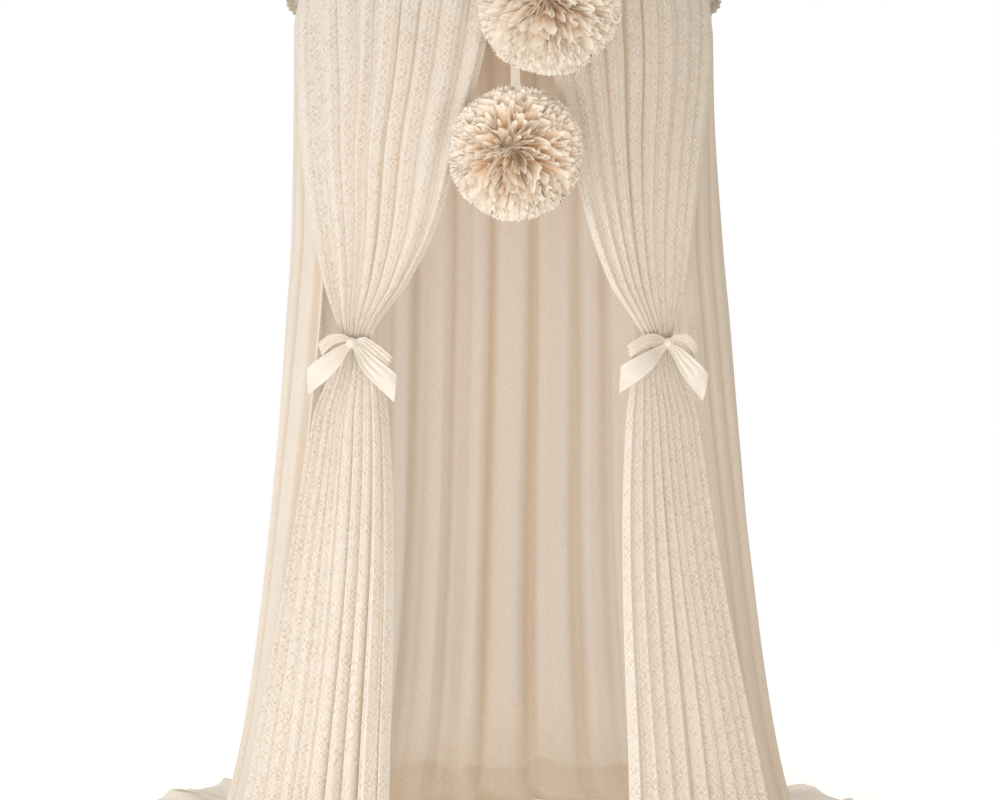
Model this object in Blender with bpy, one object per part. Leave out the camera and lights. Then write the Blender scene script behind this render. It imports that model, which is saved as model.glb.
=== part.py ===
# Tulle canopy on a hoop: a sheer lace canopy that hangs from one hook above a bed or a reading corner.
# A pointed top covers the hoop. One long sheet hangs round the sides and the back, two front panels
# are tied back with ribbon bows, and two ruffled fabric balls hang in front of the opening.
# Metres, +Z up, front towards -Y. The origin is where the hook bears inside the hanging loop.
# Heights are measured up from the floor. Angles are in degrees from the front centre towards +X.

import math
from collections import namedtuple

import bmesh
import bpy
from mathutils import Vector

# Driving dimensions
HANG_HEIGHT = 2.40        # floor to the hook's bearing point
CLOTH = 0.0010            # sheet thickness
RIBBON = 0.0012           # ribbon thickness
GAP = 0.0003              # clearance between pieces that touch
UNEVEN_WIDTH = 0.16       # how much one fold's width differs from the next
UNEVEN_DEPTH = 0.25       # and its depth
WIDTH_BEAT = 2.1          # radians from one fold to the next, for its width
DEPTH_BEAT = 3.7          # and for its depth
HEM_WANDER = 0.035        # how far the hem on the floor strays, as a share of its radius
HEM_WAVES = [(0.6, 5, 0.7), (0.4, 11, 2.0)]   # its waves: share, number round, phase

HOOP_HEIGHT = 1.884       # hoop centre line above the floor
HOOP_RADIUS = 0.4625
HOOP_TUBE = 0.006         # radius of the hoop's rod
SKIRT_RADIUS = 0.4785     # dome cloth that covers the hoop's outer side

NECK_RADIUS = 0.0185      # gathered top of the dome
NECK_LOW = 2.285
NECK_HIGH = 2.310
BINDING_WALL = 0.0015
BINDING_INSET = 0.003     # bare neck above and below the binding

STRAP_WIDTH = 0.015       # hanging loop, a strap bent into an upturned U
STRAP = 0.0018
STRAP_REACH = 0.0150      # leg centre line from the axis
STRAP_LOW = 2.270

PANEL_FOLDS = 10
PANEL_SEEDS = {"left": 0.4, "right": 1.9}
DRAPE_FOLDS = 22
DRAPE_SEED = 0.9
FOLD_STEPS = 4
FLUTES = 12
DOME_TURN = 2.7           # angle of the dome's first column, where the long ribbon is sewn on

# gather is how far the folds are drawn into the tie's round bundle, from 0 to 1
PanelRow = namedtuple(
    "PanelRow", "height radius fold gather tilt left_inner left_outer right_inner right_outer"
)
PANEL_ROWS = [
    PanelRow(1.8777, 0.4650, 0.0050, 0.0, 0, 0.5, 71.0, 5.5, 72.0),    # top edge, under the hoop's rod
    PanelRow(1.860, 0.4655, 0.0055, 0.0, 0, 0.8, 70.5, 5.9, 71.5),
    PanelRow(1.800, 0.4740, 0.0090, 0.0, 0, 2.0, 69.0, 7.2, 70.0),
    PanelRow(1.670, 0.4830, 0.0130, 0.0, 0, 4.8, 65.0, 10.8, 65.5),
    PanelRow(1.500, 0.4880, 0.0140, 0.0, 0, 10.2, 60.7, 15.2, 58.5),
    PanelRow(1.340, 0.4900, 0.0140, 0.0, 0, 15.5, 54.5, 20.0, 53.5),
    PanelRow(1.220, 0.4920, 0.0150, 0.1, 0, 23.0, 48.3, 25.6, 49.4),
    PanelRow(1.150, 0.4940, 0.0150, 0.6, 0, 30.0, 43.8, 31.8, 45.4),
    PanelRow(1.116, 0.4950, 0.0150, 1.0, 0, 32.4, 41.8, 34.4, 43.8),   # gathered inside the tie
    PanelRow(1.092, 0.4950, 0.0150, 1.0, 0, 32.4, 41.8, 34.4, 43.8),
    PanelRow(1.050, 0.4970, 0.0150, 0.5, 0, 30.0, 45.0, 31.7, 46.3),
    PanelRow(0.950, 0.5050, 0.0180, 0.0, 0, 27.0, 51.0, 28.9, 52.0),
    PanelRow(0.650, 0.5450, 0.0200, 0.0, 0, 23.4, 54.7, 25.4, 54.9),
    PanelRow(0.330, 0.6000, 0.0230, 0.0, 0, 21.5, 56.5, 23.6, 57.5),
    PanelRow(0.100, 0.6480, 0.0250, 0.0, 0, 20.4, 57.8, 22.4, 59.2),
    PanelRow(0.028, 0.6900, 0.0240, 0.0, 60, 20.2, 58.0, 22.2, 59.5),  # turns out along the floor
    PanelRow(0.012, 0.8000, 0.0200, 0.0, 90, 19.5, 58.5, 21.5, 59.8),
    PanelRow(0.006, 0.9000, 0.0160, 0.0, 90, 19.0, 59.0, 21.0, 60.0),  # hem
]

# Radii at the front edges, the two sides and the back, and the angle of the two front edges
DrapeRow = namedtuple("DrapeRow", "height front left right back fold tilt edge")
DRAPE_ROWS = [
    DrapeRow(1.884, 0.4485, 0.4485, 0.4485, 0.4485, 0.0050, 0, 54.0),   # top edge, inside the hoop
    DrapeRow(1.800, 0.4500, 0.4600, 0.4600, 0.4580, 0.0075, 0, 54.0),
    DrapeRow(1.670, 0.4530, 0.4600, 0.4615, 0.4590, 0.0080, 0, 54.0),
    DrapeRow(1.340, 0.4585, 0.4660, 0.4810, 0.4620, 0.0085, 0, 54.0),
    DrapeRow(1.180, 0.4700, 0.4740, 0.4940, 0.4640, 0.0100, 0, 54.0),
    DrapeRow(0.950, 0.4880, 0.4880, 0.5120, 0.4660, 0.0120, 0, 55.5),
    DrapeRow(0.650, 0.5120, 0.5120, 0.5400, 0.4720, 0.0140, 0, 59.0),
    DrapeRow(0.330, 0.5500, 0.5500, 0.5780, 0.4800, 0.0160, 0, 60.5),
    DrapeRow(0.100, 0.6000, 0.6000, 0.6250, 0.4950, 0.0170, 0, 61.7),
    DrapeRow(0.028, 0.6400, 0.6400, 0.6650, 0.5200, 0.0160, 50, 62.0),  # turns out along the floor
    DrapeRow(0.010, 0.8100, 0.8100, 0.8300, 0.7200, 0.0140, 90, 62.5),
    DrapeRow(0.005, 0.9700, 0.9800, 1.0000, 0.9300, 0.0120, 90, 63.0),  # hem
]
FRONT_SHARE_ENDS = 72.0   # the drape keeps its front radius up to this angle
SIDE_SHARE_STARTS = 90.0  # and has its full side radius from this one

DomeRow = namedtuple("DomeRow", "height radius flute")
DOME_ROWS = [
    DomeRow(1.862, SKIRT_RADIUS, 0.0),           # skirt's lower edge
    DomeRow(HOOP_HEIGHT, SKIRT_RADIUS, 0.0),
    DomeRow(1.8912, HOOP_RADIUS + 0.003, 0.0),   # lies on top of the hoop's rod
    DomeRow(1.8917, HOOP_RADIUS - 0.0025, 0.0),
    DomeRow(1.945, 0.400, 0.006),
    DomeRow(2.020, 0.285, 0.010),
    DomeRow(2.110, 0.168, 0.010),
    DomeRow(2.200, 0.076, 0.006),
    DomeRow(NECK_LOW, NECK_RADIUS, 0.0),
    DomeRow(NECK_HIGH, NECK_RADIUS, 0.0),
    DomeRow(2.335, 0.027, 0.002),                # ruffle above the binding
]

Ball = namedtuple("Ball", "name x y height radius back phase")
BALLS = [
    Ball("pompom_upper", 0.0880, -0.572, 1.7525, 0.1400, 0.066, 0.0),
    Ball("pompom_lower", 0.0223, -0.550, 1.4697, 0.1300, 0.066, 1.3),
]
BALL_FRONT = 0.085        # how far a ball stands out in front of its widest ring
BALL_AXIS = Vector((-0.12, -1.0, 0.0)).normalized()
BALL_RINGS = 11
BALL_SIDES = 28
RUFFLE = 0.055            # height of the ruffles as a share of the ball's radius
RUFFLE_SINK = 0.3         # how far their middle lies inside the ball's radius, in ruffle heights
HOLLOW = 0.30             # depth of the front's hollow as a share of the ball's depth
HOLLOW_SPREAD = 0.32      # and how far it spreads, in radians from the axis

# Ribbons that hold the balls, sewn flat on the dome's skirt and let into a slot in the ball.
# A route gives the points below the skirt as (x, y, height). The last one is inside the ball.
RIBBON_WIDTH = 0.018
SEWN_HIGH = 1.886
SEWN_LOW = 1.858
SLOT_LEAD = 0.02          # how far outside the ball the slot's cutter starts
SHORT_ANGLE = DOME_TURN + 7.5
SHORT_ROUTE = [(0.0880, -0.480, 1.846), (0.0880, -0.494, 1.836), (0.0880, -0.546, 1.7989)]
LONG_ANGLE = DOME_TURN
LONG_ROUTE = [
    (0.0223, -0.484, 1.740),
    (0.0223, -0.500, 1.650),
    (0.0223, -0.536, 1.612),
    (0.0223, -0.546, 1.566),
]

# Ties: bundle centre, the knot's place round the band in degrees, and the bow's strips.
# A strip's points are (right, up, forward) from the knot, with the ribbon's width there.
TIE_WIDTH = 0.044
TIE_HEIGHT = 1.104
TIE_RADIUS = 0.495
BAND_LONG = 0.0422        # band's inner half-axes, along and across the curtain
BAND_SHORT = 0.0217
BAND_TALL = 0.016
BAND_WALL = 0.0015
BAND_SIDES = 24
KNOT = (0.022, 0.014, 0.022)
KNOT_SLICES = [(-0.5, 0.72), (-0.28, 1.0), (0.28, 1.0), (0.5, 0.72)]   # place across it, size there
KNOT_SINK = 0.0007        # how far the knot and the band share material

StripPoint = namedtuple("StripPoint", "right up forward width")
Tie = namedtuple("Tie", "name angle turn tail_left tail_right loop_left loop_right")
TIES = [
    Tie(
        "tie_left", -37.1, 70.0,
        [
            StripPoint(0.000, -0.001, 0.001, 0.009), StripPoint(-0.014, -0.010, 0.010, 0.018),
            StripPoint(-0.034, -0.030, 0.016, 0.034), StripPoint(-0.060, -0.053, 0.014, 0.043),
            StripPoint(-0.091, -0.077, 0.004, TIE_WIDTH),
        ],
        [
            StripPoint(0.000, -0.002, -0.001, 0.009), StripPoint(0.014, -0.018, 0.012, 0.020),
            StripPoint(0.034, -0.042, 0.036, 0.036), StripPoint(0.060, -0.066, 0.044, 0.043),
            StripPoint(0.088, -0.092, 0.040, TIE_WIDTH),
        ],
        [
            StripPoint(0.000, 0.003, 0.002, 0.009), StripPoint(-0.018, 0.010, 0.012, 0.022),
            StripPoint(-0.044, 0.002, 0.014, 0.036), StripPoint(-0.064, -0.012, 0.006, 0.040),
            StripPoint(-0.062, -0.016, -0.008, 0.040), StripPoint(-0.040, -0.004, -0.006, 0.034),
            StripPoint(-0.016, 0.004, -0.003, 0.018), StripPoint(0.000, 0.002, -0.003, 0.009),
        ],
        [
            StripPoint(0.000, 0.003, 0.002, 0.009), StripPoint(0.018, 0.008, 0.014, 0.022),
            StripPoint(0.044, -0.010, 0.030, 0.036), StripPoint(0.072, -0.034, 0.032, 0.040),
            StripPoint(0.070, -0.036, 0.018, 0.040), StripPoint(0.044, -0.014, 0.014, 0.034),
            StripPoint(0.018, 0.002, 0.004, 0.018), StripPoint(0.000, 0.001, -0.003, 0.009),
        ],
    ),
    Tie(
        "tie_right", 39.1, 93.0,
        [
            StripPoint(0.000, -0.001, 0.001, 0.009), StripPoint(-0.016, -0.014, 0.014, 0.018),
            StripPoint(-0.040, -0.034, 0.040, 0.034), StripPoint(-0.068, -0.054, 0.050, 0.043),
            StripPoint(-0.098, -0.074, 0.046, TIE_WIDTH),
        ],
        [
            StripPoint(0.000, -0.002, -0.001, 0.009), StripPoint(0.014, -0.014, 0.012, 0.020),
            StripPoint(0.032, -0.036, 0.018, 0.034), StripPoint(0.052, -0.060, 0.016, 0.043),
            StripPoint(0.078, -0.090, 0.006, TIE_WIDTH),
        ],
        [
            StripPoint(0.000, 0.003, 0.002, 0.009), StripPoint(-0.018, 0.012, 0.016, 0.022),
            StripPoint(-0.046, 0.008, 0.034, 0.036), StripPoint(-0.076, -0.014, 0.040, 0.040),
            StripPoint(-0.074, -0.018, 0.026, 0.040), StripPoint(-0.044, 0.002, 0.018, 0.034),
            StripPoint(-0.018, 0.006, 0.004, 0.018), StripPoint(0.000, 0.002, -0.003, 0.009),
        ],
        [
            StripPoint(0.000, 0.003, 0.002, 0.009), StripPoint(0.018, 0.014, 0.012, 0.022),
            StripPoint(0.038, 0.008, 0.016, 0.034), StripPoint(0.058, -0.014, 0.010, 0.038),
            StripPoint(0.056, -0.018, -0.004, 0.038), StripPoint(0.036, 0.002, 0.000, 0.032),
            StripPoint(0.016, 0.008, -0.002, 0.018), StripPoint(0.000, 0.002, -0.003, 0.009),
        ],
    ),
]


def clear_scene():
    for thing in list(bpy.data.objects):
        bpy.data.objects.remove(thing, do_unlink=True)


def make_material(name, colour, roughness, metallic=0.0):
    material = bpy.data.materials.new(name)
    material.use_nodes = True
    shader = material.node_tree.nodes["Principled BSDF"]
    shader.inputs["Base Color"].default_value = (*colour, 1.0)
    shader.inputs["Roughness"].default_value = roughness
    shader.inputs["Metallic"].default_value = metallic
    return material


def place(x, y, height):
    """Return the point at a height above the floor."""
    return Vector((x, y, height - HANG_HEIGHT))


def at_angle(angle, radius, height):
    """Return the point at an angle from the front centre."""
    turn = math.radians(angle)
    return place(radius * math.sin(turn), -radius * math.cos(turn), height)


def outward(angle):
    turn = math.radians(angle)
    return Vector((math.sin(turn), -math.cos(turn), 0.0))


def along(angle):
    turn = math.radians(angle)
    return Vector((math.cos(turn), math.sin(turn), 0.0))


def add_object(name, points, faces, material):
    mesh = bpy.data.meshes.new(name)
    mesh.from_pydata([tuple(point) for point in points], [], faces)
    shape = bmesh.new()
    shape.from_mesh(mesh)
    bmesh.ops.recalc_face_normals(shape, faces=shape.faces)
    shape.to_mesh(mesh)
    shape.free()
    mesh.shade_smooth()
    if material:
        mesh.materials.append(material)
    made = bpy.data.objects.new(name, mesh)
    bpy.context.scene.collection.objects.link(made)
    return made


def sheet(name, rows, material, closed=False):
    """Make cloth through a grid of points. Every cell is split along the same diagonal."""
    width = len(rows[0])
    points = [point for row in rows for point in row]
    faces = []
    for row in range(len(rows) - 1):
        for column in range(width if closed else width - 1):
            here = row * width + column
            beside = row * width + (column + 1) % width
            faces.append((here, here + width, beside + width))
            faces.append((here, beside + width, beside))
    made = add_object(name, points, faces, material)
    thickness = made.modifiers.new("thickness", "SOLIDIFY")
    thickness.thickness = CLOTH
    thickness.offset = 0.0
    return made


def loft(name, sections, material=None, closed=False):
    """Join equal polygons in order, with end caps unless the run closes on itself."""
    sides = len(sections[0])
    count = len(sections)
    points = [point for section in sections for point in section]
    faces = []
    for index in range(count if closed else count - 1):
        here = index * sides
        there = (index + 1) % count * sides
        for side in range(sides):
            after = (side + 1) % sides
            faces.append((here + side, here + after, there + after, there + side))
    if not closed:
        faces.append(tuple(range(sides)))
        faces.append(tuple(range((count - 1) * sides, count * sides)))
    return add_object(name, points, faces, material)


def rectangle(centre, across, through, width, thickness):
    """Return the four corners of a strip's section."""
    half_width = across * (width / 2)
    half_thickness = through * (thickness / 2)
    return [
        centre - half_width - half_thickness,
        centre + half_width - half_thickness,
        centre + half_width + half_thickness,
        centre - half_width + half_thickness,
    ]


def strip(name, points, widths, facing, thickness, material=None):
    """Make a flat ribbon along a route, its face turned to the facing direction."""
    sections = []
    for index, point in enumerate(points):
        before = points[max(index - 1, 0)]
        after = points[min(index + 1, len(points) - 1)]
        route = (after - before).normalized()
        across = route.cross(facing).normalized()
        through = across.cross(route).normalized()
        sections.append(rectangle(point, across, through, widths[index], thickness))
    return loft(name, sections, material)


def as_cutter(made):
    made.hide_render = True
    made.display_type = "WIRE"
    return made


def combine(made, other, operation):
    """Add a Boolean modifier that joins or cuts with another solid."""
    change = made.modifiers.new(other.name, "BOOLEAN")
    change.operation = operation
    change.object = as_cutter(other)
    change.solver = "EXACT"


def pleats(folds, seed):
    """Return (place, wave) for each column: place runs from 0 to 1, wave is how far it stands out."""
    widths = [1 + UNEVEN_WIDTH * math.sin(WIDTH_BEAT * fold + seed) for fold in range(folds)]
    depths = [1 + UNEVEN_DEPTH * math.cos(DEPTH_BEAT * fold + 2 * seed) for fold in range(folds)]
    total = sum(widths)
    columns = []
    start = 0.0
    for width, depth in zip(widths, depths):
        for step in range(FOLD_STEPS):
            share = step / FOLD_STEPS
            columns.append(((start + width * share) / total, depth * math.sin(2 * math.pi * share)))
        start += width
    columns.append((1.0, 0.0))
    return columns


def hem_wander(angle, tilt):
    """Return how much the hem's outline strays where the cloth lies on the floor."""
    if tilt < 90:
        return 1.0
    turn = math.radians(angle)
    waves = [share * math.sin(number * turn + phase) for share, number, phase in HEM_WAVES]
    return 1.0 + HEM_WANDER * sum(waves)


def folded_point(base, direction, depth, tilt):
    """Move a point out of the sheet by a fold's depth, never lower than cloth lying on the floor."""
    lean = math.radians(tilt)
    moved = base + direction * (depth * math.cos(lean)) + Vector((0, 0, depth * math.sin(lean)))
    moved.z = max(moved.z, CLOTH / 2 - HANG_HEIGHT)
    return moved


def make_panel(side, name, material):
    """Make one front panel: gathered at the hoop, tied in at waist height and spread on the floor."""
    sign = -1 if side == "left" else 1
    columns = pleats(PANEL_FOLDS, PANEL_SEEDS[side])
    rows = []
    for row in PANEL_ROWS:
        inner = getattr(row, side + "_inner")
        outer = getattr(row, side + "_outer")
        points = []
        for share, wave in columns:
            angle = sign * (inner + (outer - inner) * share)
            bundle = math.sqrt(1 - (2 * share - 1) ** 2)
            depth = row.fold * wave * (1 + row.gather * (bundle - 1))
            base = at_angle(angle, row.radius * hem_wander(angle, row.tilt), row.height)
            points.append(folded_point(base, outward(angle), depth, row.tilt))
        rows.append(points)
    return sheet(name, rows, material)


def drape_point(row, angle, scale):
    """Return the drape's middle line at an angle, measured round through the back."""
    turn = math.radians(angle)
    side = row.right if math.sin(turn) > 0 else row.left
    if math.cos(turn) < 0:
        return place(scale * side * math.sin(turn), -scale * row.back * math.cos(turn), row.height)
    from_front = abs((angle + 180) % 360 - 180)
    share = (from_front - FRONT_SHARE_ENDS) / (SIDE_SHARE_STARTS - FRONT_SHARE_ENDS)
    share = min(max(share, 0.0), 1.0)
    radius = scale * (row.front + (side - row.front) * share * share * (3 - 2 * share))
    return place(radius * math.sin(turn), -radius * math.cos(turn), row.height)


def make_drape(name, material):
    """Make the sheet that hangs round both sides and the back, open at the front."""
    columns = pleats(DRAPE_FOLDS, DRAPE_SEED)
    rows = []
    for row in DRAPE_ROWS:
        points = []
        for share, wave in columns:
            angle = row.edge + (360 - 2 * row.edge) * share
            base = drape_point(row, angle, hem_wander(angle, row.tilt))
            points.append(folded_point(base, outward(angle), row.fold * wave, row.tilt))
        rows.append(points)
    return sheet(name, rows, material)


def make_dome(name, material):
    """Make the pointed top, fluted between the hoop and its gathered neck."""
    columns = FLUTES * FOLD_STEPS
    rows = []
    for row in DOME_ROWS:
        points = []
        for column in range(columns):
            angle = DOME_TURN + 360 * column / columns
            depth = row.flute * math.sin(2 * math.pi * column / FOLD_STEPS)
            points.append(at_angle(angle, row.radius + depth, row.height))
        rows.append(points)
    return sheet(name, rows, material, closed=True)


def make_hoop(name, material, segments=60, sides=8):
    """Make the round rod that carries the cloth."""
    sections = []
    for segment in range(segments):
        angle = 360 * segment / segments
        section = []
        for side in range(sides):
            turn = 2 * math.pi * side / sides
            radius = HOOP_RADIUS + HOOP_TUBE * math.cos(turn)
            section.append(at_angle(angle, radius, HOOP_HEIGHT + HOOP_TUBE * math.sin(turn)))
        sections.append(section)
    return loft(name, sections, material, closed=True)


def make_binding(name, material, segments=24):
    """Make the tape wound round the neck."""
    inner = NECK_RADIUS + CLOTH / 2 + GAP
    outer = inner + BINDING_WALL
    low = NECK_LOW + BINDING_INSET
    high = NECK_HIGH - BINDING_INSET
    sections = []
    for segment in range(segments):
        angle = DOME_TURN + 360 * segment / segments
        corners = [(inner, low), (outer, low), (outer, high), (inner, high)]
        sections.append([at_angle(angle, radius, height) for radius, height in corners])
    return loft(name, sections, material, closed=True)


def make_hang_loop(name, material, bends=12):
    """Make the strap that the hook holds: two legs sewn inside the neck, and a round top."""
    bend = STRAP_REACH
    arch_centre = HANG_HEIGHT + STRAP / 2 - bend
    route = [(-bend, STRAP_LOW)]
    for step in range(bends + 1):
        turn = math.pi * (1 - step / bends)
        route.append((bend * math.cos(turn), arch_centre + bend * math.sin(turn)))
    route.append((bend, STRAP_LOW))
    points = [place(x, 0.0, height) for x, height in route]
    across = Vector((0, 1, 0))
    sections = []
    for index, point in enumerate(points):
        before = points[max(index - 1, 0)]
        after = points[min(index + 1, len(points) - 1)]
        through = (after - before).normalized().cross(across)
        sections.append(rectangle(point, across, through, STRAP_WIDTH, STRAP))
    return loft(name, sections, material)


def make_tie(tie, material):
    """Make one tie: a band round the bundle, a knot on it, and a bow of two loops and two tails."""
    centre = at_angle(tie.angle, TIE_RADIUS, TIE_HEIGHT)
    long_way = along(tie.angle)
    short_way = outward(tie.angle)
    sections = []
    for side in range(BAND_SIDES):
        turn = 2 * math.pi * side / BAND_SIDES
        section = []
        for wall, rise in [(0, -1), (BAND_WALL, -1), (BAND_WALL, 1), (0, 1)]:
            point = centre + long_way * ((BAND_LONG + wall) * math.cos(turn))
            point = point + short_way * ((BAND_SHORT + wall) * math.sin(turn))
            section.append(point + Vector((0, 0, rise * BAND_TALL / 2)))
        sections.append(section)
    band = loft(tie.name, sections, material, closed=True)

    turn = math.radians(tie.turn)
    long_half = BAND_LONG + BAND_WALL
    short_half = BAND_SHORT + BAND_WALL
    wall_point = centre + long_way * (long_half * math.cos(turn)) + short_way * (short_half * math.sin(turn))
    normal = long_way * (math.cos(turn) / long_half) + short_way * (math.sin(turn) / short_half)
    normal.normalize()
    wide, deep, tall = KNOT
    knot_centre = wall_point + normal * (deep / 2 - KNOT_SINK)
    across = Vector((0, 0, 1)).cross(normal)
    sections = []
    for share, size in KNOT_SLICES:
        middle = knot_centre + across * (wide * share)
        sections.append(rectangle(middle, Vector((0, 0, 1)), normal, tall * size, deep * size))
    knot = loft(tie.name + "_knot", sections)
    combine(band, knot, "UNION")

    for part in ("tail_left", "tail_right", "loop_left", "loop_right"):
        route = getattr(tie, part)
        points = [knot_centre + Vector((p.right, -p.forward, p.up)) for p in route]
        piece = bow_strip(tie.name + "_" + part, points, [p.width for p in route])
        combine(band, piece, "UNION")
    return band


def bow_strip(name, points, widths):
    """Make one strip of a bow. Its width lies square to the strip's reach as seen from the front."""
    reach = max((point - points[0] for point in points), key=lambda step: step.length)
    across = Vector((-reach.z, 0, reach.x)).normalized()
    sections = []
    for index, point in enumerate(points):
        before = points[max(index - 1, 0)]
        after = points[min(index + 1, len(points) - 1)]
        through = across.cross(after - before).normalized()
        sections.append(rectangle(point, across, through, widths[index], RIBBON))
    return loft(name, sections)


def make_ball(ball, material):
    """Make one ball of ruffled cloth, its ruffles spreading from a hollow that faces the front."""
    centre = place(ball.x, ball.y, ball.height)
    up = Vector((0, 0, 1))
    right = up.cross(BALL_AXIS).normalized()
    points = []
    for ring in range(BALL_RINGS + 1):
        lean = math.pi * ring / BALL_RINGS
        depth = BALL_FRONT if lean < math.pi / 2 else ball.back
        hollow = HOLLOW * math.exp(-(lean / HOLLOW_SPREAD) ** 2)
        middle = centre + BALL_AXIS * (depth * math.cos(lean) * (1 - hollow))
        count = 1 if ring in (0, BALL_RINGS) else BALL_SIDES
        for side in range(count):
            turn = 2 * math.pi * side / BALL_SIDES
            wave = math.sin(7 * turn + 1.6 * math.sin(2.5 * lean) + ball.phase)
            wave += 0.6 * math.sin(11 * turn - 2.2 * lean + 2 * ball.phase)
            reach = ball.radius * math.sin(lean) * (1 + RUFFLE * (0.6 * wave - RUFFLE_SINK))
            points.append(middle + right * (reach * math.cos(turn)) + up * (reach * math.sin(turn)))
    faces = []
    last = len(points) - 1
    for side in range(BALL_SIDES):
        after = (side + 1) % BALL_SIDES
        faces.append((0, 1 + side, 1 + after))
        faces.append((last, last - BALL_SIDES + after, last - BALL_SIDES + side))
        for ring in range(BALL_RINGS - 2):
            here = 1 + ring * BALL_SIDES
            there = here + BALL_SIDES
            faces.append((here + side, there + side, there + after))
            faces.append((here + side, there + after, here + after))
    return add_object(ball.name, points, faces, material)


def hang_ball(ball, ball_solid, name, angle, route, material):
    """Make the ribbon from the dome's skirt into a slot in the ball."""
    out = SKIRT_RADIUS + CLOTH / 2 + GAP + RIBBON / 2
    high = at_angle(angle, out, SEWN_HIGH)
    low = at_angle(angle, out, SEWN_LOW)
    points = [high, low] + [place(x, y, height) for x, y, height in route]
    facing = outward(angle)
    strip(name, points, [RIBBON_WIDTH] * len(points), facing, RIBBON, material)
    entry = points[-2]
    end = points[-1]
    into = (end - entry).normalized()
    slot_points = [entry - into * SLOT_LEAD, end + into * GAP]
    slot = strip(name + "_slot", slot_points, [RIBBON_WIDTH + 2 * GAP] * 2, facing, RIBBON + 2 * GAP)
    combine(ball_solid, slot, "DIFFERENCE")


def main():
    clear_scene()
    lace = make_material("lace", (0.91, 0.83, 0.72), 0.85)
    top_lace = make_material("top_lace", (0.90, 0.82, 0.71), 0.85)
    satin = make_material("satin_ribbon", (0.96, 0.91, 0.83), 0.35)
    fluff = make_material("ruffle_cloth", (0.93, 0.86, 0.76), 0.80)
    tape = make_material("cotton_tape", (0.93, 0.88, 0.80), 0.75)
    rod = make_material("hoop_plastic", (0.90, 0.88, 0.84), 0.45)

    make_hoop("hoop", rod)
    make_dome("dome", top_lace)
    make_binding("crown_binding", tape)
    make_hang_loop("hang_loop", tape)
    make_drape("back_drape", lace)
    make_panel("left", "panel_left", lace)
    make_panel("right", "panel_right", lace)
    for tie in TIES:
        make_tie(tie, satin)

    upper, lower = [(ball, make_ball(ball, fluff)) for ball in BALLS]
    hang_ball(*upper, "pompom_ribbon_upper", SHORT_ANGLE, SHORT_ROUTE, satin)
    hang_ball(*lower, "pompom_ribbon_lower", LONG_ANGLE, LONG_ROUTE, satin)


main()
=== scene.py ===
import math

import bmesh
import bpy
import numpy as np
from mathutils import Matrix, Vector


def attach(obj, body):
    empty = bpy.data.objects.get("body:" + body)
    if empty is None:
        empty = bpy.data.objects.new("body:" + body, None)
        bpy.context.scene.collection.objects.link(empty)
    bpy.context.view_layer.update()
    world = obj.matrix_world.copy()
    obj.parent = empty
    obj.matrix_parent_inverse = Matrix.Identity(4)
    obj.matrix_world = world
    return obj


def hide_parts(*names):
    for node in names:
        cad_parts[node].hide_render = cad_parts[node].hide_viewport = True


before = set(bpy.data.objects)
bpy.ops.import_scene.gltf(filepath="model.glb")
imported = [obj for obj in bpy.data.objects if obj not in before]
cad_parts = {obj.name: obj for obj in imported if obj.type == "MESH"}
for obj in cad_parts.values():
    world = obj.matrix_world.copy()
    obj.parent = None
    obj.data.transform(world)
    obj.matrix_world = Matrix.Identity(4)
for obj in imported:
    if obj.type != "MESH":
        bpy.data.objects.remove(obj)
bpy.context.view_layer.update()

print("frame loaded, nodes:", len(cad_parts))

# All places are in the frame's metres: the hook bears at the origin and the floor lies hangHeight below.
# Angles are in degrees from the front centre towards +X.
hangHeight = 2.40
clothLift = 0.0006   # lowest height of cloth that lies on the floor
fullTurn = 2 * math.pi


# Node helpers

def addNode(tree, kind, **values):
    node = tree.nodes.new(kind)
    for name, value in values.items():
        setattr(node, name, value)
    return node


def connect(tree, value, socket):
    if isinstance(value, bpy.types.NodeSocket):
        tree.links.new(value, socket)
    else:
        socket.default_value = value


def setSockets(node, values):
    for name, value in values.items():
        node.inputs[name].default_value = value


def calc(tree, operation, first, second=0.0, third=0.0):
    node = addNode(tree, "ShaderNodeMath", operation=operation)
    for index, value in enumerate((first, second, third)):
        connect(tree, value, node.inputs[index])
    return node.outputs[0]


def vectorCalc(tree, operation, first, second):
    node = addNode(tree, "ShaderNodeVectorMath", operation=operation)
    connect(tree, first, node.inputs[0])
    connect(tree, second, node.inputs["Scale" if operation == "SCALE" else 1])
    return node.outputs[0]


def splitVector(tree, vector):
    node = addNode(tree, "ShaderNodeSeparateXYZ")
    connect(tree, vector, node.inputs[0])
    return node.outputs


def blendColour(tree, share, first, second):
    node = addNode(tree, "ShaderNodeMix", data_type="RGBA")
    connect(tree, share, node.inputs["Factor"])
    connect(tree, first, node.inputs[6])
    connect(tree, second, node.inputs[7])
    return node.outputs[2]


def remap(tree, value, low, high, newLow=0.0, newHigh=1.0):
    node = addNode(tree, "ShaderNodeMapRange", interpolation_type="SMOOTHSTEP")
    connect(tree, value, node.inputs["Value"])
    for name, number in (("From Min", low), ("From Max", high), ("To Min", newLow), ("To Max", newHigh)):
        connect(tree, number, node.inputs[name])
    return node.outputs["Result"]


def threads(tree, place, perMetre):
    # one ridge for each thread along a direction
    return calc(tree, "PINGPONG", calc(tree, "MULTIPLY", place, perMetre), 0.5)


def newGroup(name, inputs, outputs):
    group = bpy.data.node_groups.new(name, "ShaderNodeTree")
    for label, kind, value in inputs:
        socket = group.interface.new_socket(name=label, in_out="INPUT", socket_type=kind)
        if value is not None:
            socket.default_value = value
    for label, kind in outputs:
        group.interface.new_socket(name=label, in_out="OUTPUT", socket_type=kind)
    return group, addNode(group, "NodeGroupInput"), addNode(group, "NodeGroupOutput")


def useGroup(tree, group, **values):
    node = addNode(tree, "ShaderNodeGroup", node_tree=group)
    for name, value in values.items():
        connect(tree, value, node.inputs[name.replace("_", " ")])
    return node


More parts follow.
